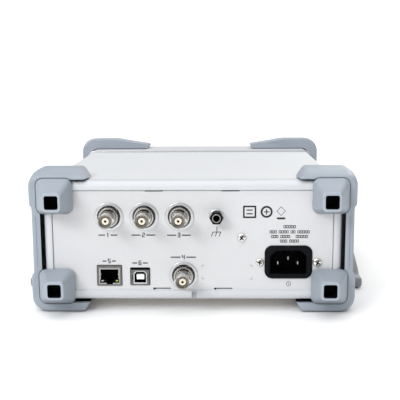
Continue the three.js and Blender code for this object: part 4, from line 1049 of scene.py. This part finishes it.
# the walls of the key, window, socket and knob holes are cut in black: painted shade
for nm, r in keys_front:
    a = cap_box(nm)
    bm = bmesh.new()
    loft(bm, [at_y(rr(a[0] - 0.4, a[1] + 0.4, a[4] - 0.4, a[5] + 0.4, min(r + 0.4, (a[5] - a[4]) / 2 + 0.39), 6), y) for y in (y0 - 1, y1 + 1)])
    boolean(t, temp("keycut", bm, ("inner_black_and_shade",)))
a = box_mm("display_window")
bm = bmesh.new()
loft(bm, [at_y(rr(a[0] - 0.35, a[1] + 0.35, a[4] - 0.35, a[5] + 0.35, 2.3, 6), y) for y in (y0 - 1, y0 + 1.6)])
boolean(t, temp("wincut", bm, ("inner_black_and_shade",)))
bm = bmesh.new()
loft(bm, [at_y(rr(a[0] + 2, a[1] - 2, a[4] + 2, a[5] - 2, 1, 3), y) for y in (y0 + 0.5, y1 + 1)])
boolean(t, temp("wincut2", bm, ("inner_black_and_shade",)))
a = box_mm("usb_host_port")
bm = bmesh.new()
loft(bm, [at_y(rr(a[0] - 0.3, a[1] + 0.3, a[4] - 0.3, a[5] + 0.3, 0.8, 3), y) for y in (y0 - 1, y1 + 1)])
boolean(t, temp("usbcut", bm, ("inner_black_and_shade",)))
kx, kz = centre("measure_knob") if "measure_knob" in frame["nodes"] else (78.5, 69.0)
for (x, z, r) in ((78.5, 69.0, 3.6), (60, 26.5, 6.3), (84, 26.5, 6.3)):
    bm = bmesh.new()
    loft(bm, [at_y(circ(x, z, r, 40), y) for y in (y0 - 1, y1 + 1)])
    boolean(t, temp("roundcut", bm, ("inner_black_and_shade",)))
# shallow dished seat round the knob
bm = bmesh.new()
lathe(bm, [(0, -1), (13.6, -1), (13.6, 0.0), (13.0, 0.45), (0, 0.45)], 78.5, 69.0, y0, 1, 64)
boolean(t, temp("dish", bm, ("front",)))
bm, mats = to_bm(t)
make("front_panel_skin", bm, mats, replaces=["front_panel"], bevel=0.18, seg=2, angle=40)

# display window: tinted glass with a dark border and a lit number behind it
a = box_mm("display_window")
bm = bmesh.new()
loft(bm, [at_y(rr(a[0], a[1], a[4], a[5], 2, 6), a[3]), at_y(rr(a[0], a[1], a[4], a[5], 2, 6), a[2] + 0.3), at_y(rr(a[0] + 0.3, a[1] - 0.3, a[4] + 0.3, a[5] - 0.3, 1.8, 6), a[2])])
make("display_glass", bm, ["window"], replaces=["display_window"], sharp=30)
WIN = a

bm = bmesh.new()
bt = bmesh.new()
fy = WIN[2] - 0.02
cx = (WIN[0] + WIN[1]) / 2
cz = (WIN[4] + WIN[5]) / 2


def fbox(b, xa, xb, za, zb, r=0.5):
    loft(b, [at_y(rr(xa, xb, za, zb, r, 3), yy) for yy in (fy - 0.03, fy + 0.05)])


# big reading, generic digits
for i, ch in enumerate("1000000000"):
    gx = WIN[0] + 12 + i * 7.6 + (1.8 if i > 0 else 0) + (1.8 if i > 3 else 0) + (1.8 if i > 6 else 0)
    digit(bm, ch, gx, cz + 7, 11, 5.0, 1.0, facing=-1, y=fy)
for gx in (WIN[0] + 16.6, WIN[0] + 41.4, WIN[0] + 66.2):
    fbox(bm, gx - 0.5, gx + 0.5, cz + 1.6, cz + 2.6, 0.3)
for i in range(21):
    gx = WIN[0] + 10 + i * 3.9
    fbox(bt, gx - 0.15, gx + 0.15, cz - 6.5, cz - 6.5 + (2.2 if i % 5 == 0 else 1.2), 0.1)
fbox(bt, WIN[0] + 10, WIN[0] + 88, cz - 6.9, cz - 6.6, 0.1)
fbox(bt, WIN[0] + 10, WIN[0] + 58, cz - 10.4, cz - 8.6, 0.4)
for i in range(6):
    gx = WIN[0] + (i + 0.5) * (WIN[1] - WIN[0]) / 6
    fbox(bt, gx - 6.4, gx + 6.4, WIN[4] + 2.4, WIN[4] + 2.7, 0.1)
    fbox(bt, gx - 6.4, gx + 6.4, WIN[4] + 7.6, WIN[4] + 7.9, 0.1)
    fbox(bt, gx - 4.2, gx + (1.0 + i % 3 * 1.4), WIN[4] + 4.6, WIN[4] + 5.6, 0.3)
for k, L in enumerate((14, 9, 12)):
    fbox(bt, WIN[0] + 10 + k * 20, WIN[0] + 10 + k * 20 + L, WIN[5] - 6.4, WIN[5] - 5.2, 0.4)
M["glow"] = surface("display_glow", srgb(150, 214, 235), 0.4, var=0.03, var_scale=300)
pg = M["glow"].node_tree.nodes["Principled BSDF"]
pg.inputs["Emission Color"].default_value = (*srgb(130, 214, 240), 1)
pg.inputs["Emission Strength"].default_value = 0.9
M["glowdim"] = surface("display_glow_dim", srgb(90, 140, 165), 0.4, var=0.03, var_scale=300)
pg = M["glowdim"].node_tree.nodes["Principled BSDF"]
pg.inputs["Emission Color"].default_value = (*srgb(90, 150, 180), 1)
pg.inputs["Emission Strength"].default_value = 0.35
make("display_reading", bm, ["glow"])
make("display_scale", bt, ["glowdim"])


# ---------------------------------------------------------------------- keys
def keycap(nm, r, mat, dome=0.35, edge=0.7, ring=None):
    a = box_mm(nm)
    c = cap_box(nm)
    w, h = c[1] - c[0], c[5] - c[4]
    r = min(r, min(w, h) / 2 - 0.02)
    mx, mz = (c[0] + c[1]) / 2, (c[4] + c[5]) / 2
    bm = bmesh.new()
    fy = a[2]
    rings = [at_y(rr(mx - 1.4, mx + 1.4, mz - 1.4, mz + 1.4, 0.4, 6), a[3] - 0.01), at_y(rr(mx - 1.4, mx + 1.4, mz - 1.4, mz + 1.4, 0.4, 6), BEHIND + 2.6)]
    rings += [at_y(rr(a[0], a[1], a[4], a[5], min(r + 1, (a[5] - a[4]) / 2 - 0.02), 6), BEHIND + 1.6), at_y(rr(a[0], a[1], a[4], a[5], min(r + 1, (a[5] - a[4]) / 2 - 0.02), 6), BEHIND + 0.45)]
    rings += [at_y(rr(c[0], c[1], c[4], c[5], r, 6), BEHIND + 0.35), at_y(rr(c[0], c[1], c[4], c[5], r, 6), fy + edge)]
    for k in range(1, 6):
        t_ = math.radians(k * 18)
        g = edge * (1 - math.cos(t_))
        rings.append(at_y(rr(c[0] + g, c[1] - g, c[4] + g, c[5] - g, max(0.15, r - g * 0.6), 6), fy + edge - (edge - dome * 0.4) * math.sin(t_)))
    for k in (0.72, 0.45, 0.2):
        rings.append(at_y([(mx + (p[0] - mx) * k, mz + (p[1] - mz) * k) for p in rr(c[0] + edge, c[1] - edge, c[4] + edge, c[5] - edge, max(0.15, r - edge * 0.6), 6)], fy + dome * 0.4 * (k ** 2)))
    loft(bm, rings)
    return make("cap_" + nm, bm, [mat], body=nm, replaces=[nm], sharp=45)


for nm, r in keys_front:
    keycap(nm, r, "keydark" if nm in ("run_key", "power_button") else "key")

# marks on the front: strokes under keys and sockets, numbers over the inputs
bm = bmesh.new()
fy = box_mm("front_panel")[2]
FPY = fy - 0.03
for nm, r in keys_front[6:12]:
    c = cap_box(nm)
    mx = (c[0] + c[1]) / 2
    stroke(bm, (mx - 3.4, c[5] + 1.7), (mx + 3.4, c[5] + 1.7), 0.3, y=FPY)
for (x, z, n_) in ((60, 26.5, "1"), (84, 26.5, "2")):
    digit(bm, n_, x, z + 12.6, 2.8, 1.5, 0.42, facing=-1, y=FPY)
    for s in (-1, 1):
        stroke(bm, (x + s * 3, z + 12.6), (x + s * 9.5, z + 12.6), 0.28, y=FPY)
ring_mark(bm, 22, 25.5 + 9.3, 1.3, 0.34, 20, y=FPY, a0=120, a1=420)
stroke(bm, (22, 25.5 + 9.5), (22, 25.5 + 11.2), 0.34, y=FPY)
for k in range(25):
    a_ = math.radians(-150 + 300 * k / 24 + 90)
    r0, r1 = 14.6, (16.0 if k % 6 else 16.8)
    stroke(bm, (78.5 + r0 * math.cos(a_), 69 + r0 * math.sin(a_)), (78.5 + r1 * math.cos(a_), 69 + r1 * math.sin(a_)), 0.26, y=FPY)
# thin rules that group the keys
for x_a, x_b, z_ in ((13, 50, 84.2), (13, 50, 55.4)):
    stroke(bm, (x_a, z_), (x_b, z_), 0.24, y=FPY)
make("front_print", bm, ["ink"])

# front sockets
for nm in ("input_bnc_a", "input_bnc_b"):
    x, z = centre(nm)
    bnc_shell("socket_" + nm, x, z, box_mm("front_panel")[2], -1, [nm])
    bnc_nut("socket_ring_" + nm, x, z, box_mm("front_panel")[2], -1, 0.2, [], washer=9.0)

# front data socket
a = box_mm("usb_host_port")
xm, zm = (a[0] + a[1]) / 2, (a[4] + a[5]) / 2
bm = bmesh.new()
loft(bm, [at_y(rr(a[0], a[1], a[4], a[5], 0.5, 3), y) for y in (a[2], a[3])])
t = temp("usbh", bm, ("shell", "inner_black_and_shade", "ivory"))
# the cavity is cut with black walls: painted shade
bm = bmesh.new()
loft(bm, [at_y(rr(a[0] + 0.5, a[1] - 0.5, a[4] + 0.5, a[5] - 0.5, 0.3, 3), y) for y in (a[2] - 1, a[2] + 11)])
boolean(t, temp("cav", bm, ("inner_black_and_shade",)))
bm, mats = to_bm(t)
make("host_socket", bm, mats, replaces=["usb_host_port"], bevel=0.12, seg=2, angle=40)
bm = bmesh.new()
strip_box(bm, xm - 5.7, xm + 5.7, a[2] + 1.0, a[2] + 11.2, zm + 0.6, zm + 2.3)
make("host_tongue", bm, ["ivory"], bevel=0.15, seg=2)

# ---------------------------------------------------------------------- knob
KX, KZ = 78.5, 69.0
bm = bmesh.new()
y_face = box_mm("front_panel")[2]
prof = [(0, -11.4), (3, -11.4), (3, 0.75), (12.0, 0.75), (12.4, 1.0), (12.4, 1.9), (12.1, 2.4), (11.0, 2.75), (10.75, 3.2), (10.75, 3.8), (10.55, 12.9), (10.4, 13.6), (10.15, 14.6), (9.6, 15.8), (9.0, 16.55), (8.45, 16.95),
        (7.9, 17.1), (7.3, 17.0), (6.9, 16.8), (4.5, 16.65), (2, 16.6), (0, 16.6)]
N = 168
prev = None
for k, (r, h) in enumerate(prof):
    yy = y_face - h
    if r < 1e-6:
        cur = [bm.verts.new(Vector((KX, yy, KZ)) * MM)]
    else:
        cur = []
        for i in range(N):
            t_ = 2 * math.pi * i / N
            rr_ = r
            if 3.5 < h < 15.0:
                rr_ = r - 0.42 * max(0.0, math.cos(28 * t_)) * min(1, (h - 3.2) / 0.8) * min(1, max(0.0, (15.3 - h) / 1.2))
            cur.append(bm.verts.new(Vector((KX + rr_ * math.cos(t_), yy, KZ + rr_ * math.sin(t_))) * MM))
    if prev is not None:
        for i in range(N):
            j = (i + 1) % N
            if len(prev) == 1:
                bm.faces.new((prev[0], cur[i], cur[j]))
            elif len(cur) == 1:
                bm.faces.new((cur[0], prev[j], prev[i]))
            else:
                bm.faces.new((prev[i], prev[j], cur[j], cur[i]))
    prev = cur
t = temp("knob", bm, ("knob", "keydark", "ink"))
# finger dimple in the face
bm = bmesh.new()
dprof = [(0, 14.2)] + [(3.6 * math.sin(math.radians(a_)), 17.75 - 3.6 * math.cos(math.radians(a_)) + 0.0) for a_ in (15, 30, 45, 60, 75, 90)] + [(0, 17.75)]
lathe(bm, [(0, 14.15)] + [(3.6 * math.sin(math.radians(a_)), 17.75 - 3.6 * math.cos(math.radians(a_))) for a_ in (15, 30, 45, 60, 75, 90)] + [(3.6, 19), (0, 19)], KX, KZ + 4.4, y_face, -1, 40)
boolean(t, temp("dimple", bm, ("knob",)))
bm, mats = to_bm(t)
make("tuning_knob", bm, mats, body="knob", replaces=["knob"], sharp=50)

# -------------------------------------------------------------------- handle
hb = box_mm("handle_hub_right")
PIV_Y, PIV_Z = (hb[2] + hb[3]) / 2, (hb[4] + hb[5]) / 2
ga = box_mm("handle_grip")
GY, GZ = (ga[2] + ga[3]) / 2, (ga[4] + ga[5]) / 2
AX0, AX1 = box_mm("handle_arm_right")[0], box_mm("handle_arm_right")[1]
LEN = math.hypot(GY - PIV_Y, GZ - PIV_Z)
ang = math.atan2(GZ - PIV_Z, GY - PIV_Y)
along = Vector((0, math.cos(ang), math.sin(ang)))
norm0 = Vector((0, -math.sin(ang), math.cos(ang)))


def arm_section(centre_, width_dir, height_dir, w, h, r):
    r = min(r, w / 2 - 0.02, h / 2 - 0.02)
    return [(centre_ + width_dir * p[0] + height_dir * p[1]) * MM for p in rr(-w / 2, w / 2, -h / 2, h / 2, r, 5)]


def arm_rings(sx):
    rings = []
    X = Vector((1, 0, 0))
    O = Vector((sx * (AX0 + AX1) / 2, PIV_Y, PIV_Z))
    w = AX1 - AX0
    for a_ in (3, 10, 20, 32, 45, 60, 75, 90):
        s_ = -13.5 * math.cos(math.radians(a_))
        h_ = 2 * 13.5 * math.sin(math.radians(a_))
        g = 0.9 * (1 - math.sin(math.radians(a_)))
        rings.append(arm_section(O + along * s_, X, norm0, w - 2 * g, h_, 2.4))
    for s_, h_ in ((8, 24.8), (15, 20.8), (22, 17.6), (30, 15.6), (45, 14.2), (62, 13.2), (78, 12.0), (90, 11.0), (LEN - 18, 9.8), (LEN - 12, 8.8)):
        rings.append(arm_section(O + along * s_, X, norm0, w - 0.4, h_, 2.4))
    # the end lies down into the grip
    for dy, dz, f, h_ in ((-6.5, 1.5, 0.45, 8.0), (-2.0, 0.35, 0.8, 7.4), (4.0, 0.0, 1.0, 7.0)):
        rings.append(arm_section(Vector((O.x, GY + dy, GZ + dz)), X, (norm0 * (1 - f) + Vector((0, 0, 1)) * f).normalized(), w - 0.4, h_, 2.4))
    return rings


# grip: a flat bar right across, its ends carrying round into the arms
bm = bmesh.new()
hy, hz = (ga[3] - ga[2]) / 2, (ga[5] - ga[4]) / 2
sect = []
for x_, gy_, gz_ in ((-AX1, 2.6, 1.7), (-AX1 + 0.35, 1.3, 0.9), (-AX1 + 1.1, 0.45, 0.35), (-AX1 + 2.4, 0.05, 0.05), (-AX1 + 4, 0, 0), (-66.5, 0, 0), (-66.0, 0.5, 0.5), (-65.0, 0.5, 0.5), (-64.5, 0, 0)):
    sect.append((x_, gy_, gz_))
sect += [(-x_, gy_, gz_) for x_, gy_, gz_ in sect[::-1]]
mats_ = []
for k, (x_, gy_, gz_) in enumerate(sect[:-1]):
    mats_.append(1 if abs(x_) < 64.6 and abs(sect[k + 1][0]) < 64.6 else 0)
loft(bm, [at_x(rr(GY - hy + gy_, GY + hy - gy_, GZ - hz + gz_, GZ + hz - gz_, 3.1 - gz_ * 0.8, 6), x_) for x_, gy_, gz_ in sect], mats=mats_ + [0])
t = temp("handle", bm, ("handle", "hub"))
for sx in (-1, 1):
    bm = bmesh.new()
    loft(bm, arm_rings(sx))
    boolean(t, temp("arm", bm, ("handle",)), "UNION")
for sx in (-1, 1):
    xo = sx * AX1
    # round boss line and a seated cover on the outer face, over the pivot
    for r0, r1, dep in ((8.6, 9.3, 0.5), (0, 3.1, 0.9)):
        bm = bmesh.new()
        c_o = [(PIV_Y + r1 * math.cos(2 * math.pi * i / 48), PIV_Z + r1 * math.sin(2 * math.pi * i / 48)) for i in range(48)]
        if r0:
            c_i = [(PIV_Y + r0 * math.cos(2 * math.pi * i / 48), PIV_Z + r0 * math.sin(2 * math.pi * i / 48)) for i in range(48)]
            loft(bm, [at_x(c_o, xo - sx * dep), at_x(c_o, xo + sx * 1), at_x(c_i, xo + sx * 1), at_x(c_i, xo - sx * dep)], loop=True)
        else:
            loft(bm, [at_x(c_o, xo - sx * dep), at_x(c_o, xo + sx * 1)])
        boolean(t, temp("boss", bm, ("handle",)))
    # blind socket for the spindle on the inner face
    bm = bmesh.new()
    c_o = [(PIV_Y + 5.4 * math.cos(2 * math.pi * i / 40), PIV_Z + 5.4 * math.sin(2 * math.pi * i / 40)) for i in range(40)]
    loft(bm, [at_x(c_o, sx * (AX0 - 1)), at_x(c_o, sx * (AX0 + 8))])
    boolean(t, temp("socket", bm, ("hub",)))
# finger ribs under the grip
for k in range(-7, 8):
    bm = bmesh.new()
    loft(bm, [[Vector((k * 7 + u, y_, ga[4] + v)) * MM for u, v in ((-1.1, -1), (1.1, -1), (0.75, 0.42), (-0.75, 0.42))] for y_ in (GY - 5.8, GY + 5.8)])
    boolean(t, temp("rib", bm, ("hub",)))
bm, mats = to_bm(t)
make("carry_handle", bm, mats, body="handle", replaces=["handle_arm_right", "handle_arm_left", "handle_grip"], bevel=0.25, seg=2, angle=38)

for side, sx in (("right", 1), ("left", -1)):
    a = box_mm("handle_hub_" + side)
    x_in, x_out = (a[0], a[1]) if sx > 0 else (-a[1], -a[0])
    bm = bmesh.new()
    disc = [(0, x_in), (12.2, x_in), (12.9, x_in + 0.4), (12.95, x_in + 1.2), (12.4, x_in + 1.7), (12.4, x_in + 2.6), (12.95, x_in + 3.1), (12.95, 115.0), (12.4, 116.2), (11.5, 116.6), (10.2, 116.65), (9.9, 116.2), (6.4, 116.0), (6.0, 116.4), (5.0, 116.5), (5.0, x_out - 0.5), (4.6, x_out), (0, x_out)]
    prev = None
    N = 72
    for r, h in disc:
        if r < 1e-6:
            cur = [bm.verts.new(Vector((sx * h, PIV_Y, PIV_Z)) * MM)]
        else:
            cur = []
            for i in range(N):
                t_ = 2 * math.pi * i / N
                # fine detent teeth round the outer rim
                rr_ = r - (0.35 if (r > 12.9 and h > x_in + 3 and i % 3 == 0) else 0)
                cur.append(bm.verts.new(Vector((sx * h, PIV_Y + rr_ * math.cos(t_), PIV_Z + rr_ * math.sin(t_))) * MM))
        if prev is not None:
            for i in range(N):
                j = (i + 1) % N
                if len(prev) == 1:
                    bm.faces.new((prev[0], cur[i], cur[j]))
                elif len(cur) == 1:
                    bm.faces.new((cur[0], prev[j], prev[i]))
                else:
                    bm.faces.new((prev[i], prev[j], cur[j], cur[i]))
        prev = cur
    make("handle_mount_" + side, bm, ["hub"], replaces=["handle_hub_" + side], sharp=32)

# ------------------------------------------------- inner pieces kept from CAD
INNER = {"chassis_tray": "metalplain", "main_board": "board", "power_supply_board": "board", "reference_oscillator": "washer", "key_board": "board", "display_module": "inner_black_and_shade"}
for nm, mat in INNER.items():
    ob = frame["nodes"][nm]
    ob.data.materials.clear()
    ob.data.materials.append(M[mat])

# ------------------------------------------------------------ floor and light
floor_m = bpy.data.materials.new("floor")
floor_m.use_nodes = True
nt = floor_m.node_tree
p = nt.nodes["Principled BSDF"]
fn = node(nt, "ShaderNodeTexNoise", Scale=3.0, Detail=2.0)
fr_ = nt.nodes.new("ShaderNodeValToRGB")
fr_.color_ramp.elements[0].color = (0.955, 0.955, 0.955, 1)
fr_.color_ramp.elements[1].color = (0.97, 0.97, 0.97, 1)
nt.links.new(fn.outputs["Fac"], fr_.inputs["Fac"])
nt.links.new(fr_.outputs[0], p.inputs["Base Color"])
p.inputs["Roughness"].default_value = 0.6
p.inputs["Specular IOR Level"].default_value = 0.0
bm = bmesh.new()
S = 6.0
N = 12
rows_ = []
for j in range(N + 1):
    rows_.append([bm.verts.new((-S + 2 * S * i / N, -S + 2 * S * j / N, 0)) for i in range(N + 1)])
for j in range(N):
    for i in range(N):
        bm.faces.new((rows_[j][i], rows_[j][i + 1], rows_[j + 1][i + 1], rows_[j + 1][i]))
me = bpy.data.meshes.new("floor")
bm.to_mesh(me)
bm.free()
floor = bpy.data.objects.new("floor", me)
me.materials.append(floor_m)
scene.collection.objects.link(floor)

world = bpy.data.worlds.new("studio")
scene.world = world
world.use_nodes = True
wn = world.node_tree
bg = wn.nodes["Background"]
bg.inputs[1].default_value = 1.0
# a dim wall round a bright ceiling
wtc = wn.nodes.new("ShaderNodeTexCoord")
wsep = wn.nodes.new("ShaderNodeSeparateXYZ")
wramp = wn.nodes.new("ShaderNodeValToRGB")
wn.links.new(wtc.outputs["Generated"], wsep.inputs[0])
wn.links.new(wsep.outputs["Z"], wramp.inputs["Fac"])
wn.links.new(wramp.outputs["Color"], bg.inputs[0])
wr = wramp.color_ramp
wr.elements[0].position, wr.elements[0].color = 0.0, (0.26, 0.265, 0.275, 1)
wr.elements[1].position, wr.elements[1].color = 0.85, (0.76, 0.76, 0.76, 1)
e_ = wr.elements.new(0.22)
e_.color = (0.33, 0.335, 0.345, 1)
e_ = wr.elements.new(0.45)
e_.color = (0.60, 0.60, 0.605, 1)
bg2 = wn.nodes.new("ShaderNodeBackground")
bg2.inputs[0].default_value = (1.0, 1.0, 1.0, 1)
bg2.inputs[1].default_value = 1.05
lp = wn.nodes.new("ShaderNodeLightPath")
mixw = wn.nodes.new("ShaderNodeMixShader")
wn.links.new(lp.outputs["Is Camera Ray"], mixw.inputs[0])
wn.links.new(bg.outputs[0], mixw.inputs[1])
wn.links.new(bg2.outputs[0], mixw.inputs[2])
wn.links.new(mixw.outputs[0], wn.nodes["World Output"].inputs[0])
scene.view_settings.view_transform = "Standard"


def area(name, loc, target, size, power, color=(1, 1, 1), size_y=None):
    L = bpy.data.lights.new(name, "AREA")
    L.energy = power
    L.size = size
    if size_y:
        L.shape = "RECTANGLE"
        L.size_y = size_y
    L.color = color
    ob = bpy.data.objects.new(name, L)
    scene.collection.objects.link(ob)
    ob.location = loc
    ob.rotation_euler = (Vector(target) - Vector(loc)).to_track_quat("-Z", "Y").to_euler()
    return ob


def sun(name, direction, power, angle):
    L = bpy.data.lights.new(name, "SUN")
    L.energy = power
    L.angle = math.radians(angle)
    ob = bpy.data.objects.new(name, L)
    scene.collection.objects.link(ob)
    ob.location = Vector(direction) * 2
    ob.rotation_euler = Vector(direction).to_track_quat("Z", "Y").to_euler()
    return ob


sun("top_light", (0.18, 0.12, 1.0), 1.25, 75)
area("key", (0.68, 1.0, 0.72), (0, 0.1, 0.06), 0.55, 7.5, size_y=0.4)
area("under_fill", (0, 0.035, 0.0065), (0, 0.035, 0), 0.15, 0.008, color=(1.0, 0.90, 0.78), size_y=0.15)
area("front_key", (-0.6, -1.1, 0.7), (0, -0.1, 0.05), 0.6, 5.0)
